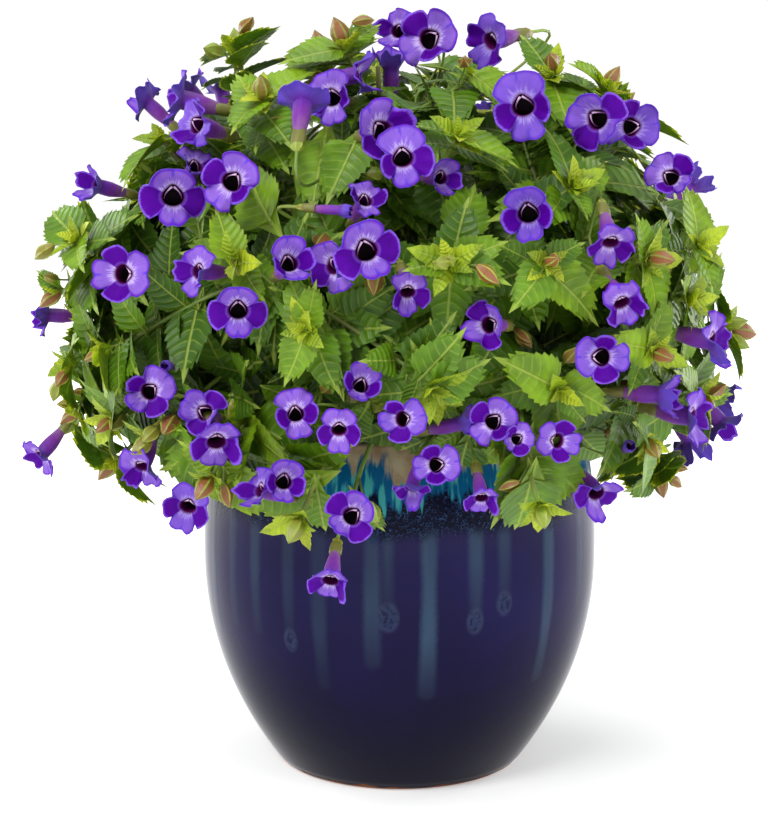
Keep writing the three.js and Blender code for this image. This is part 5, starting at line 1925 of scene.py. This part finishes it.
class Graph:
    """Writes the nodes of a material, a group or the surroundings."""

    def __init__(self, tree: bpy.types.NodeTree, material: Material | None = None) -> None:
        """Takes the tree that the nodes go into, which it empties, and the material that owns it."""
        self.tree, self.material = tree, material
        tree.nodes.clear()

    @classmethod
    def of_material(cls, name: str) -> "Graph":
        """Starts a new material.

        Args:
            name: its name.

        Returns:
            Its empty graph.
        """
        material = bpy.data.materials.new(name)
        material.use_nodes = True
        return cls(material.node_tree, material)

    def finish(self, **inputs: Value) -> Material:
        """Adds the shader.

        Args:
            inputs: the shader's values or fields, by socket name with _ for a blank.

        Returns:
            The finished material.
        """
        shader = self.node("ShaderNodeBsdfPrincipled",
                           {name.replace("_", " "): value for name, value in inputs.items()})
        self.node("ShaderNodeOutputMaterial", {"Surface": shader.outputs[0]})
        return self.material

    def node(self, kind: str, inputs: dict | None = None, **settings: object) -> bpy.types.Node:
        """Adds a node.

        Args:
            kind: its type.
            inputs: values, colours' codes or fields by socket name or number.
            settings: its properties.

        Returns:
            The node.
        """
        made = self.tree.nodes.new(kind)
        for name, value in settings.items():
            setattr(made, name, value)
        for key, value in (inputs or {}).items():
            value = value.socket if isinstance(value, Field) else value
            if isinstance(value, bpy.types.NodeSocket):
                self.tree.links.new(value, made.inputs[key])
            else:
                made.inputs[key].default_value = srgb(value) if isinstance(value, str) else value
        return made

    def out(self, kind: str, inputs: dict | None = None, output: int | str = 0, **settings: object) -> Field:
        """Adds a node, and takes one of its outputs."""
        return Field(self, self.node(kind, inputs, **settings).outputs[output])

    def math(self, operation: str, *values: Value) -> Field:
        """A sum of one to three numbers."""
        return self.out("ShaderNodeMath", dict(enumerate(values)), operation=operation)

    def ramp(self, value: Value, stops: Sequence[tuple[float, str]]) -> Field:
        """A colour from a row of stops.

        Args:
            value: what is looked up.
            stops: places and colours.

        Returns:
            The colour.
        """
        made = self.node("ShaderNodeValToRGB", {0: value})
        elements = made.color_ramp.elements
        for i, (position, code) in enumerate(stops):
            element = elements[i] if i < 2 else elements.new(position)
            element.position, element.color = position, srgb(code)
        return Field(self, made.outputs[0])

    def where(self) -> Field:
        """The object's own coordinates, which are metres."""
        return self.out("ShaderNodeTexCoord", output="Object")

    def noise(self, scale: float, detail: float = 3, stretch: tuple[float, float, float] = (1, 1, 1),
              where: Field | None = None) -> Field:
        """Noise on the object's own coordinates, or on others."""
        mapped = self.out("ShaderNodeMapping", {"Vector": where or self.where(), "Scale": stretch})
        return self.out("ShaderNodeTexNoise", {"Vector": mapped, "Scale": scale, "Detail": detail})

    def attribute(self, name: str) -> Field:
        """The number that the mesh holds under a name."""
        return self.out("ShaderNodeAttribute", output="Fac", attribute_name=name)

    def vector(self, *values: Value) -> Field:
        """A vector of three numbers."""
        return self.out("ShaderNodeCombineXYZ", dict(enumerate(values)))

    def parts(self, vector: Field) -> list[Field]:
        """The three numbers of a vector."""
        return [Field(self, part) for part in self.node("ShaderNodeSeparateXYZ", {0: vector}).outputs]

    def lay(self) -> list[Field]:
        """The three values that a shape's points carry."""
        return self.parts(self.out("ShaderNodeAttribute", output="Vector", attribute_name="lay"))

    def bump(self, height: Value, distance: float, strength: float = 1) -> Field:
        """A normal that shows a height."""
        return self.out("ShaderNodeBump", {"Height": height, "Distance": distance, "Strength": strength})

    def mottle(self, first: Value, second: Value, scale: float, amount: Value) -> tuple[Field, Field]:
        """Places the shared mottle group.

        Args:
            first: the main colour.
            second: the colour that it drifts to.
            scale: how fine the patches are.
            amount: how far it drifts.

        Returns:
            The drifting colour, and the height of its patches.
        """
        inputs = {"First": first, "Second": second, "Scale": scale, "Amount": amount}
        made = self.node("ShaderNodeGroup", inputs,
                         node_tree=bpy.data.node_groups.get("mottle") or mottle_group())
        return Field(self, made.outputs["Color"]), Field(self, made.outputs["Height"])


def mottle_group() -> bpy.types.NodeTree:
    """The shared effect of living and fired surfaces: a colour that drifts between two others.

    Returns:
        The group, with inputs First, Second, Scale and Amount, and outputs Color and Height.
    """
    group = bpy.data.node_groups.new("mottle", "ShaderNodeTree")
    for name, way, kind in (("First", "INPUT", "Color"), ("Second", "INPUT", "Color"),
                            ("Scale", "INPUT", "Float"), ("Amount", "INPUT", "Float"),
                            ("Color", "OUTPUT", "Color"), ("Height", "OUTPUT", "Float")):
        group.interface.new_socket(name=name, in_out=way, socket_type="NodeSocket" + kind)
    graph = Graph(group)
    first, second, scale, amount = (Field(graph, part) for part in graph.node("NodeGroupInput").outputs[:4])
    noise = graph.out("ShaderNodeTexNoise", {"Vector": graph.where(), "Scale": scale, "Detail": 4.0})
    colour = (noise.step(0.35, 0.65) * amount).mix(first, second)
    graph.node("NodeGroupOutput", {"Color": colour, "Height": noise})
    return group


# The finishes.

@dataclass(frozen=True)
class LeafFinish:
    """Toothed leaves: darker green deeper in the plant, which is painted shade, lime at the young tips, with
    paler veins.
    """

    tones: tuple[tuple[float, str], ...] = ((0.0, "#1e3606"), (0.25, "#3c6208"), (0.45, "#5c860c"),
                                            (0.65, "#7ca012"), (0.85, "#9cb41c"), (1.0, "#bac826"))
    shade: str = "#2c4c0a"
    vein: str = "#a9ba4e"
    veins: float = 6.5
    slant: float = 1.7
    roughness: float = 0.46
    gloss: float = 0.3
    glow: float = 0.3
    glow_depth: float = 0.0015

    def build(self) -> Material:
        """Makes the material.

        Returns:
            The material.
        """
        graph = Graph.of_material("leaf_green")
        across, along, _ = graph.lay()
        base = graph.ramp(graph.attribute("tone"), self.tones)
        patch, drift = graph.mottle(base, self.shade, 70.0, 0.5)
        aside = abs(across)
        row = along * self.veins + graph.noise(110, 2) * 0.5 - graph.math("POWER", aside, 1.5) * self.slant
        gap = abs(graph.math("FRACT", row) - 0.5)
        side_veins = gap.step(0.36, 0.5) * aside.step(0.9, 0.3)
        rib = aside.step(0.08, 0.02)
        veins = graph.math("MAXIMUM", rib, side_veins * 0.5)
        height = gap * -1.2 + rib * -0.6 + drift * 0.3
        return graph.finish(
            Base_Color=(veins * 0.5).mix(patch, self.vein), Roughness=self.roughness,
            Specular_IOR_Level=self.gloss, Subsurface_Weight=self.glow, Subsurface_Radius=(1, 1, 0.3),
            Subsurface_Scale=self.glow_depth, Normal=graph.bump(height, 0.001, 0.7))


@dataclass(frozen=True)
class StalkFinish:
    """Stems and twigs: green, turning brown and woody on the old ones."""

    old: str = "#5c4a2c"
    green: str = "#5f7f28"
    fresh: str = "#8aa63a"
    bark: str = "#6b4a30"
    roughness: float = 0.5

    def build(self) -> Material:
        """Makes the material.

        Returns:
            The material.
        """
        graph = Graph.of_material("stalk_green")
        base = graph.ramp(graph.attribute("tone"), ((0.1, self.old), (0.5, self.green), (1.0, self.fresh)))
        patch, _ = graph.mottle(base, self.bark, 70.0, 0.35)
        return graph.finish(Base_Color=patch, Roughness=self.roughness,
                            Normal=graph.bump(graph.noise(500, 2, (1, 1, 0.2)), 0.0004))


@dataclass(frozen=True)
class CalyxFinish:
    """Ribbed calyces: yellow-green wings, with red-brown cheeks between them, and an inside painted
    near-black as shade.
    """

    wing: str = "#93a034"
    old_wing: str = "#7f8232"
    cheek: str = "#84502c"
    cheek_patch: str = "#8f6038"
    fresh: str = "#7c962c"
    point: str = "#6a6a2a"
    # Painted shade: the near-black of the calyx's inner wall.
    painted_inner_shade: str = "#10040c"
    roughness: float = 0.45

    def build(self) -> Material:
        """Makes the material.

        Returns:
            The material.
        """
        graph = Graph.of_material("calyx_green_and_rust")
        wave, inside, along = graph.lay()
        tone = graph.attribute("tone")
        cheek = tone.step(0.1, 0.6).mix(self.fresh, self.cheek)
        cheek, _ = graph.mottle(cheek, self.cheek_patch, 160.0, 0.35)
        colour = wave.step(0.3, 0.7).mix(cheek, tone.step(0.5, 1.1).mix(self.wing, self.old_wing))
        # The inner wall takes the near-black of painted shade.
        colour = inside.mix(along.step(0.9, 1.0).mix(colour, self.point), self.painted_inner_shade)
        return graph.finish(Base_Color=colour, Roughness=self.roughness,
                            Normal=graph.bump(graph.noise(420, 3), 0.0004))


@dataclass(frozen=True)
class PetalFaceFinish:
    """The front of the petals: pale upper and lower lobes, deep violet cheeks, a maroon throat, and painted
    shade that turns the tube near-black.
    """

    pale: str = "#835cc0"
    pale_streak: str = "#6248b8"
    pale_flush: str = "#5a3cb4"
    whitish: str = "#c4b2e4"
    middle_line: str = "#4c2fc0"
    rim: str = "#5a1cae"
    deep: str = "#4c008a"
    deep_edge: str = "#7c50cc"
    deep_near: str = "#6f46bc"
    deep_streak: str = "#2a0664"
    throat: str = "#520a4c"
    # Painted shade: the near-black that the face turns deeper in the tube.
    dark: str = "#0c0108"
    roughness: float = 0.6
    gloss: float = 0.07

    def build(self) -> Material:
        """Makes the material.

        Returns:
            The material.
        """
        graph = Graph.of_material("petal_face_violet")
        x, y, edge = graph.lay()
        along, tone = graph.attribute("along"), graph.attribute("tone")
        aside = abs(x)
        # Grain that runs from the throat outwards, another on each bloom.
        spoke = graph.out("ShaderNodeVectorMath", {0: graph.vector(x, y, 0.0)}, operation="NORMALIZE")
        right, up, _ = graph.parts(spoke)
        grain = graph.noise(2.2, 4, where=graph.vector(right * 5.0 + tone * 40.0, up * 5.0, along * 1.3))
        streaks = grain.scaled(0.9, -0.45)
        out = along - 0.93 + streaks
        pale = out.step(0.0, 0.45).mix(self.whitish, self.pale)
        pale = edge.step(2.0, 0.2).mix(pale, self.rim)
        pale = (aside.step(0.07, 0.02) * out.step(0.5, 0.8) * 0.7).mix(pale, self.middle_line)
        pale = (grain.step(0.5, 0.75) * 0.5).mix(pale, self.pale_streak)
        pale = (tone.step(0.6, 1.0) * 0.45).mix(pale, self.pale_flush)
        deep = (edge + streaks * 1.2).step(0.4, 1.3).mix(self.deep_edge, self.deep)
        deep = (along - 1.0).step(0.16, 0.04).mix(deep, self.deep_near)
        deep = (grain.step(0.45, 0.8) * 0.4).mix(deep, self.deep_streak)
        cheek = graph.math("MINIMUM", aside * 0.55 - y, aside * 1.15 + y).step(-0.01, 0.05)
        colour = along.step(1.12, 0.96).mix(cheek.mix(pale, deep), self.throat)
        # Painted shade: deeper in the tube, and on the disc that closes it, the face turns near-black.
        colour = along.step(0.9, 0.5).mix(colour, self.dark)
        return graph.finish(Base_Color=colour, Roughness=self.roughness, Specular_IOR_Level=self.gloss,
                            Normal=graph.bump(graph.noise(150, 2), 0.0012, 0.7))


@dataclass(frozen=True)
class PetalBackFinish:
    """The back of the petals and the tube: magenta-violet, paler towards the foot of the tube."""

    tones: tuple[tuple[float, str], ...] = ((0.1, "#7f5488"), (0.3, "#702690"), (0.5, "#5c2098"),
                                            (0.75, "#5a3cae"), (1.0, "#5536b4"))
    roughness: float = 0.55
    gloss: float = 0.3
    down: float = 0.08

    def build(self) -> Material:
        """Makes the material.

        Returns:
            The material.
        """
        graph = Graph.of_material("petal_back_violet")
        place = (graph.attribute("along") + graph.noise(200, 3).scaled(0.6, -0.3)) * 0.5
        return graph.finish(Base_Color=graph.ramp(place, self.tones), Roughness=self.roughness,
                            Specular_IOR_Level=self.gloss, Sheen_Weight=self.down,
                            Normal=graph.bump(graph.noise(260, 3), 0.0006))


@dataclass(frozen=True)
class StamenFinish:
    """The joined stamens: pale pink, whiter at their tips."""

    pink: str = "#8a4898"
    white: str = "#dcbcdc"
    blush: str = "#c07ab8"
    roughness: float = 0.5

    def build(self) -> Material:
        """Makes the material.

        Returns:
            The material.
        """
        graph = Graph.of_material("stamen_pink")
        colour = graph.attribute("along").step(0.2, 0.9).mix(self.pink, self.white)
        patch, _ = graph.mottle(colour, self.blush, 300.0, 0.3)
        return graph.finish(Base_Color=patch, Roughness=self.roughness)


@dataclass(frozen=True)
class GlazeFinish:
    """The pot's coat: bare clay at the foot, indigo glaze with paler runs, a crackled dark band under
    turquoise drips, and a tan lip. Heights are mm above the foot."""

    indigo: str = "#171244"
    night: str = "#110d36"
    foot: str = "#07051c"
    run: tuple[tuple[float, str], ...] = ((0.15, "#262d3c"), (0.5, "#2c3c50"), (1.0, "#31465e"))
    spot: str = "#151a34"
    spot_ring: str = "#3a4258"
    spot_speckle: str = "#36486a"
    band: str = "#080a20"
    crackle: str = "#2f4a78"
    turquoise: str = "#084e76"
    pale: str = "#3b9492"
    lip: str = "#a89c7e"
    rust: str = "#7d5f40"
    clay: str = "#7e4a2a"
    burnt_clay: str = "#56301c"
    foot_span: tuple[float, float] = (150.0, 10.0)
    band_span: tuple[float, float] = (163.0, 172.0)
    drip_span: tuple[float, float] = (184.0, 189.0)
    lip_span: tuple[float, float] = (201.0, 210.0)
    bare_span: tuple[float, float] = (2.4, 1.4)
    gloss: float = 0.09

    def build(self) -> Material:
        """Makes the material.

        Returns:
            The material.
        """
        graph = Graph.of_material("glaze_indigo")
        run, blob, height = graph.lay()
        fade, outside = graph.attribute("along"), graph.attribute("tone")
        long_streak = graph.noise(55, 3, (1, 1, 0.12))
        fine_streak = graph.noise(230, 3, (1, 1, 0.07))
        fine = graph.noise(420, 4)
        rough = long_streak.scaled(44.0, -22.0)
        ragged = rough.scaled(0.7, height) + fine_streak.scaled(36.0, -18.0)
        base, _ = graph.mottle(self.indigo, self.night, 14.0, 0.8)
        # The glaze darkens from 150 mm down to 10 mm above the foot.
        base = height.step(*self.foot_span).mix(base, self.foot)
        # The runs, with a soft edge and a darker speckle where they end.
        body = (run + fine.scaled(1.6, -0.8)).step(-2.2, 2.6) * fade * long_streak.scaled(1.2, 0.2)
        base = body.mix(base, graph.ramp(fade, self.run))
        speckle = (fine + fine_streak * 0.4).step(0.62, 0.74)
        spot = blob.step(-0.6, 1.4)
        base = (spot * 0.3).mix(base, self.spot)
        base = (blob.step(-1.4, 0.4) * blob.step(2.6, 0.8) * 0.2).mix(base, self.spot_ring)
        base = (spot * (speckle * 0.3)).mix(base, self.spot_speckle)
        # The crackled band, and what runs down into it.
        crack = graph.out("ShaderNodeTexVoronoi", {"Vector": graph.where(), "Scale": 560.0},
                          feature="DISTANCE_TO_EDGE")
        band = (height + rough * 0.45).step(*self.band_span)
        base = band.mix(base, (crack.step(0.1, 0.02) * fine.step(0.42, 0.7)).mix(self.band, self.crackle))
        teal = fine_streak.step(0.48, 0.62).mix(self.turquoise, self.pale)
        base = ragged.step(*self.drip_span).mix(base, teal)
        tan, _ = graph.mottle(self.lip, self.rust, 60.0, 0.8)
        base = ragged.step(*self.lip_span).mix(base, tan)
        clay, _ = graph.mottle(self.clay, self.burnt_clay, 120.0, 0.7)
        bare = (height + long_streak.scaled(7.0, -3.5)).step(*self.bare_span)
        bare = graph.math("MAXIMUM", bare, graph.math("SUBTRACT", 1.0, outside))
        relief = body * 0.5 + spot * 0.5 + fine * band * 0.5 + graph.noise(38, 2) * 0.35
        return graph.finish(Base_Color=bare.mix(base, clay), Specular_IOR_Level=self.gloss,
                            Roughness=graph.math("MAXIMUM", band * 0.14 + 0.1, bare * 0.85),
                            Normal=graph.bump(relief, 0.0006, 0.6))


@dataclass(frozen=True)
class SoilFinish:
    """Dark potting soil, with crumbs and paler fibres."""

    dark: str = "#1c130d"
    crumb: str = "#4a3423"
    fibre: str = "#a08c6a"
    roughness: float = 0.95

    def build(self) -> Material:
        """Makes the material.

        Returns:
            The material.
        """
        graph = Graph.of_material("potting_soil_dark")
        patch, height = graph.mottle(self.dark, self.crumb, 260.0, 0.9)
        fibre = graph.noise(700, 2, (1, 0.25, 1)).step(0.66, 0.72)
        return graph.finish(Base_Color=fibre.mix(patch, self.fibre), Roughness=self.roughness,
                            Normal=graph.bump(height, 0.002))


# The pot and its soil.

@dataclass
class Pot:
    """The glazed pot. Angles are degrees from the front, to the right."""

    sides: int = 384
    # Angle, height of its lower end, half width in mm, strength, and the radius of the blob at its end.
    runs: tuple[tuple[float, float, float, float, float], ...] = (
        (-53.6, 102, 3.6, 0.75, 0), (-43.5, 100.8, 3.8, 0.8, 0), (-31.8, 99.5, 3.6, 0.7, 5),
        (-22.5, 72, 4.4, 0.5, 0), (-7.8, 87.7, 4.6, 0.85, 0), (-3.5, 117.6, 3.4, 0.7, 6.2),
        (7.3, 68, 4.6, 0.95, 0), (20.1, 113.8, 4.4, 0.95, 5.6), (28.7, 122.6, 3.8, 0.8, 5.2),
        (44.3, 69.3, 4.2, 0.9, 0), (60, 110, 3.6, 0.7, 0), (-66, 92, 3.6, 0.6, 0))
    back_runs: int = 18
    back_span: tuple[float, float] = (78, 204)
    far_away: float = -30.0
    least_mark: float = -6
    lip_height: float = 216.5
    smooth: float = 40

    def profile(self) -> list[tuple[float, float]]:
        """The pot's half section, from the foot's middle out, up the wall, over the lip and down inside.

        Returns:
            Radius and height of each station.
        """
        form = POT
        rows = [(0.5, 3), (20, 3), (50, 3), (66, 3), (69.5, 2.4), (71.5, 0.6), (73, 0.0), (75.5, 0.0),
                (77.2, 0.5)]
        heights = [1.4, 2.4, 3.2, 4.4, *np.arange(6, 212, 2.0), 213.5, 215, 216.2]
        rows += [(form.radius(z) if z > 4 else form.radius(z) - 0.5, z) for z in heights]
        lip = form.radius(self.lip_height)
        rows += [(lip - 5 + 5 * math.cos(a) ** 0.8, 216.4 + 3.6 * math.sin(a))
                 for a in np.radians([12, 28, 45, 62, 78, 90])]
        rows += [(lip - 10 + 1.4, 219.2), (lip - 10 + 0.2, 217.6), (lip - 10 - 0.3, 215.5)]
        rows += [(form.inside(z), z) for z in (212, 207, 200, 190, 175, 155, 138, 115, 90, 60, 36, 22)]
        floor, wall = form.floor, form.inside(form.floor)
        rows += [(wall - 6, floor + 1.2), (wall - 16, floor), (42, floor), (0.5, floor)]
        return [(float(r), float(z)) for r, z in rows]

    def all_runs(self) -> list[tuple[float, float, float, float, float]]:
        """The runs that the picture shows, and drawn ones for the back.

        Returns:
            One row for each, as in runs.
        """
        start, span = self.back_span
        back = [(start + (span / self.back_runs) * (k + 0.7 * draw(k, 91)), between(66, 124, k, 92),
                 between(3, 4.8, k, 93), between(0.55, 0.95, k, 94), 5.5 * (draw(k, 95) > 0.6))
                for k in range(self.back_runs)]
        return [*self.runs, *back]

    def marks(self, points: Vec) -> tuple[Vec, Vec]:
        """What the glaze reads at each point.

        Args:
            points: the pot's points in mm.

        Returns:
            Per point how far inside a run and a blob it lies and its height in mm, and the runs' strength.
        """
        angle = np.arctan2(points[:, 0], -points[:, 1])
        girth = np.hypot(points[:, 0], points[:, 1])
        run, blob = (np.full(len(points), self.far_away) for _ in range(2))
        fade = np.zeros(len(points))
        z = points[:, 2]
        for i, (degrees, low, half, strength, ball) in enumerate(self.all_runs()):
            sway = 1.6 * np.sin(z / 17 + i) + 0.7 * np.sin(z / 6.5 + 2 * i)
            away = np.abs((angle - math.radians(degrees) + math.pi) % (2 * math.pi) - math.pi) * girth
            away = away + 0.25 * sway
            inside = half - np.hypot(away, np.maximum(low + half - z, 0))
            share = strength * np.clip(0.35 + (z - low) / 60, 0.35, 1)
            better = inside > run
            run, fade = np.where(better, inside, run), np.where(better, share, fade)
            if ball:
                blob = np.maximum(blob, ball - np.hypot(away, (z - low - ball * 0.4) * 0.7))
        return np.stack([np.maximum(run, self.least_mark), np.maximum(blob, self.least_mark), z], 1), fade

    @staticmethod
    def drain(thing: Thing) -> None:
        """Drills the drain holes.

        Args:
            thing: the pot, in mm.
        """
        for k in range(POT.drains):
            turn = math.radians(90 + 360 * k / POT.drains)
            start_clean()
            bpy.ops.mesh.primitive_cylinder_add(vertices=48, radius=POT.drain_radius, depth=40, location=(
                POT.drain_circle * math.cos(turn), POT.drain_circle * math.sin(turn), 8))
            cutter = bpy.context.object
            apply_modifier(thing, "BOOLEAN", object=cutter, operation="DIFFERENCE", solver="EXACT")
            bpy.data.objects.remove(cutter)

    def build(self, finish: Material) -> Thing:
        """Makes the pot.

        Args:
            finish: its glaze.

        Returns:
            The piece.
        """
        thing = draw_out(self.sides, self.profile())
        with editing(thing):
            close_ends()
        self.drain(thing)
        points = get_points(thing)
        lay, fade = self.marks(points)
        walls = np.array([POT.radius(min(max(z, 0), POT.height)) for z in points[:, 2]])
        outside = np.clip((np.hypot(points[:, 0], points[:, 1]) - walls + 5) / 3, 0, 1)
        for name, values in (("lay", lay), ("along", fade), ("tone", outside)):
            set_mark(thing, name, values)
        set_points(thing, points * MM)
        thing.data.materials.clear()
        thing.data.materials.append(finish)
        smooth(thing, self.smooth)
        thing.name = "glazed_pot_piece"
        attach(thing, "root")
        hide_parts("glazed_pot")
        return thing


@dataclass
class Soil:
    """The soil in the pot: a low crown of crumbs."""

    rings: int = 44
    sides: int = 120
    crumb: float = 0.7

    def build(self, finish: Material) -> Thing:
        """Makes the soil.

        Args:
            finish: its look.

        Returns:
            The piece.
        """
        bottom = [(0.5, 16), (40, 16), (POT.inside(16) - 8, 17)]
        walls = [(POT.inside(z) - 0.5, z) for z in (24, 40, 70, 100, 138, 165, 185, 198, 203)]
        rim = POT.inside(POT.soil_top) - 0.8
        top = [(rim * (1 - k / self.rings), lerp(POT.soil_top, POT.soil_crown, min(1, 3 * k / self.rings)))
               for k in range(self.rings)]
        thing = draw_out(self.sides, [*bottom, *walls, *top, (0.4, POT.soil_crown)])
        points = get_points(thing)
        x, y, z = points.T
        on_top = (z > POT.soil_top - 0.5) & (np.hypot(x, y) < rim - 2)
        crumbs = (np.sin(x * 0.9 + 2 * np.sin(y * 0.7)) + np.sin(y * 1.1 + 2 * np.sin(x * 0.6))
                  + np.sin(x * 2.3 + y * 1.9) * np.sin(y * 2.1 - x * 1.7))
        points[:, 2] += np.where(on_top, crumbs * self.crumb, 0)
        set_points(thing, points * MM)
        with editing(thing):
            close_ends()
        thing.data.materials.clear()
        thing.data.materials.append(finish)
        thing.data.polygons.foreach_set("use_smooth", np.ones(len(thing.data.polygons), bool))
        thing.name = "potting_soil_piece"
        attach(thing, "root")
        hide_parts("potting_soil")
        return thing


# The studio.

@dataclass
class Studio:
    """Floor, surroundings, lights and camera."""

    floor_size: float = 12
    lens: float = 71.44
    sensor: float = 36
    clip: tuple[float, float] = (0.05, 60)
    # The floor's own light near the plant and far off, between two distances in metres.
    floor_light: tuple[float, float] = (0.23, 1.0)
    floor_span: tuple[float, float] = (0.6, 2.0)
    # How bright the surroundings are as a background, and as a light.
    background: float = 1.05
    daylight: float = 0.52
    aim: float = 0.25
    # Place in metres, side in metres, and power in watts.
    lights: tuple[tuple[str, tuple[float, float, float], float, float], ...] = (
        ("key", (-1.3, -1.9, 2.3), 1.1, 63), ("fill", (1.9, -1.5, 1.2), 1.4, 20),
        ("left_strip", (-1.9, 1.2, 0.7), 1.1, 24), ("right_strip", (1.9, 1.2, 0.7), 1.1, 26),
        ("top", (0, 0.5, 2.6), 1.6, 20))

    def build(self) -> None:
        """Sets the studio up."""
        self.floor()
        self.surroundings()
        for row in self.lights:
            self.light(*row)
        self.camera()

    def floor(self) -> None:
        """A plain pale floor."""
        start_clean()
        bpy.ops.mesh.primitive_grid_add(x_subdivisions=8, y_subdivisions=8, size=self.floor_size)
        floor = bpy.context.object
        floor.name = "floor"
        graph = Graph.of_material("floor_pale")
        patch, _ = graph.mottle("#f7f7f7", "#f4f4f4", 3.0, 0.5)
        away = graph.out("ShaderNodeVectorMath", {0: graph.where()}, "Value", operation="LENGTH")
        near, far = self.floor_light
        floor.data.materials.append(graph.finish(
            Base_Color=patch, Roughness=0.8, Emission_Color=(1, 1, 1, 1),
            Emission_Strength=away.step(*self.floor_span).scaled(far - near, near)))

    def surroundings(self) -> None:
        """A white background, and a softer light from all round."""
        world = bpy.data.worlds.new("studio")
        world.use_nodes = True
        graph = Graph(world.node_tree)
        seen = graph.out("ShaderNodeLightPath", output="Is Camera Ray")
        strength = seen.scaled(self.background - self.daylight, self.daylight)
        back = graph.out("ShaderNodeBackground", {"Color": (1, 1, 1, 1), "Strength": strength})
        graph.node("ShaderNodeOutputWorld", {"Surface": back})
        bpy.context.scene.world = world

    def light(self, name: str, place: tuple[float, float, float], size: float, power: float) -> None:
        """A soft square light that points at the plant.

        Args:
            name: its name.
            place: where it stands, in metres.
            size: its side in metres.
            power: its power in watts.
        """
        data = bpy.data.lights.new(name, "AREA")
        data.size, data.energy = size, power
        lamp = bpy.data.objects.new(name, data)
        bpy.context.scene.collection.objects.link(lamp)
        away = np.array(place) - np.array([0, 0, self.aim])
        lamp.location = place
        lamp.rotation_euler = (math.acos(away[2] / np.linalg.norm(away)), 0, math.atan2(away[0], -away[1]))

    def camera(self) -> None:
        """The camera at the picture's own viewpoint."""
        data = bpy.data.cameras.new("camera")
        data.lens, data.sensor_width = self.lens, self.sensor
        data.clip_start, data.clip_end = self.clip
        camera = bpy.data.objects.new("camera", data)
        bpy.context.scene.collection.objects.link(camera)
        camera.location = [v * MM for v in SIGHT.eye]
        camera.rotation_euler = (math.pi / 2 - SIGHT.pitch, 0, 0)
        bpy.context.scene.camera = camera


class WishboneFlower:
    """The whole plant in its pot."""

    FINISHES = (StalkFinish, LeafFinish, CalyxFinish, PetalFaceFinish, PetalBackFinish, StamenFinish)

    def __init__(self) -> None:
        """Lays the plant out and mixes its finishes, in the order of Part."""
        self.plant = Plant()
        self.finishes = [finish().build() for finish in self.FINISHES]

    @staticmethod
    def report(piece: Thing) -> None:
        """Logs a finished piece."""
        LOG.info("%s: %d faces", piece.name, len(piece.data.polygons))

    def build(self) -> None:
        """Makes every piece."""
        self.report(Pot().build(GlazeFinish().build()))
        self.report(Soil().build(SoilFinish().build()))
        flower = Flower()
        growth = Growth(self.plant)
        LOG.info("leaves: %d", growth.leafage())
        LOG.info("leaves over the rim: %d", growth.rim_leaves())
        LOG.info("leaves in the gaps: %d", growth.fill())
        growth.tips()
        growth.side_buds()
        growth.rods()
        for number, collector in enumerate(growth.collectors, 1):
            name = f"leafy_stem_{number:02d}"
            self.settle(collector.piece(name + "_piece", self.finishes), name)
        for number, spray in enumerate(self.plant.sprays, 1):
            collector = Collector()
            for bloom in spray.blooms:
                flower.grow(collector, bloom, spray.root)
            name = f"bloom_spray_{number:02d}"
            self.settle(collector.piece(name + "_piece", self.finishes), name)

    def settle(self, piece: Thing, node: str) -> None:
        """Lets a piece stand for its solid.

        Args:
            piece: the piece.
            node: the solid's node.
        """
        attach(piece, "root")
        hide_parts(node)
        self.report(piece)


def main() -> None:
    """Builds the plant and its studio."""
    logging.basicConfig(level=logging.INFO, format="%(message)s")
    WishboneFlower().build()
    Studio().build()
    bpy.context.scene.view_settings.view_transform = "Standard"


if __name__ == "__main__":
    main()
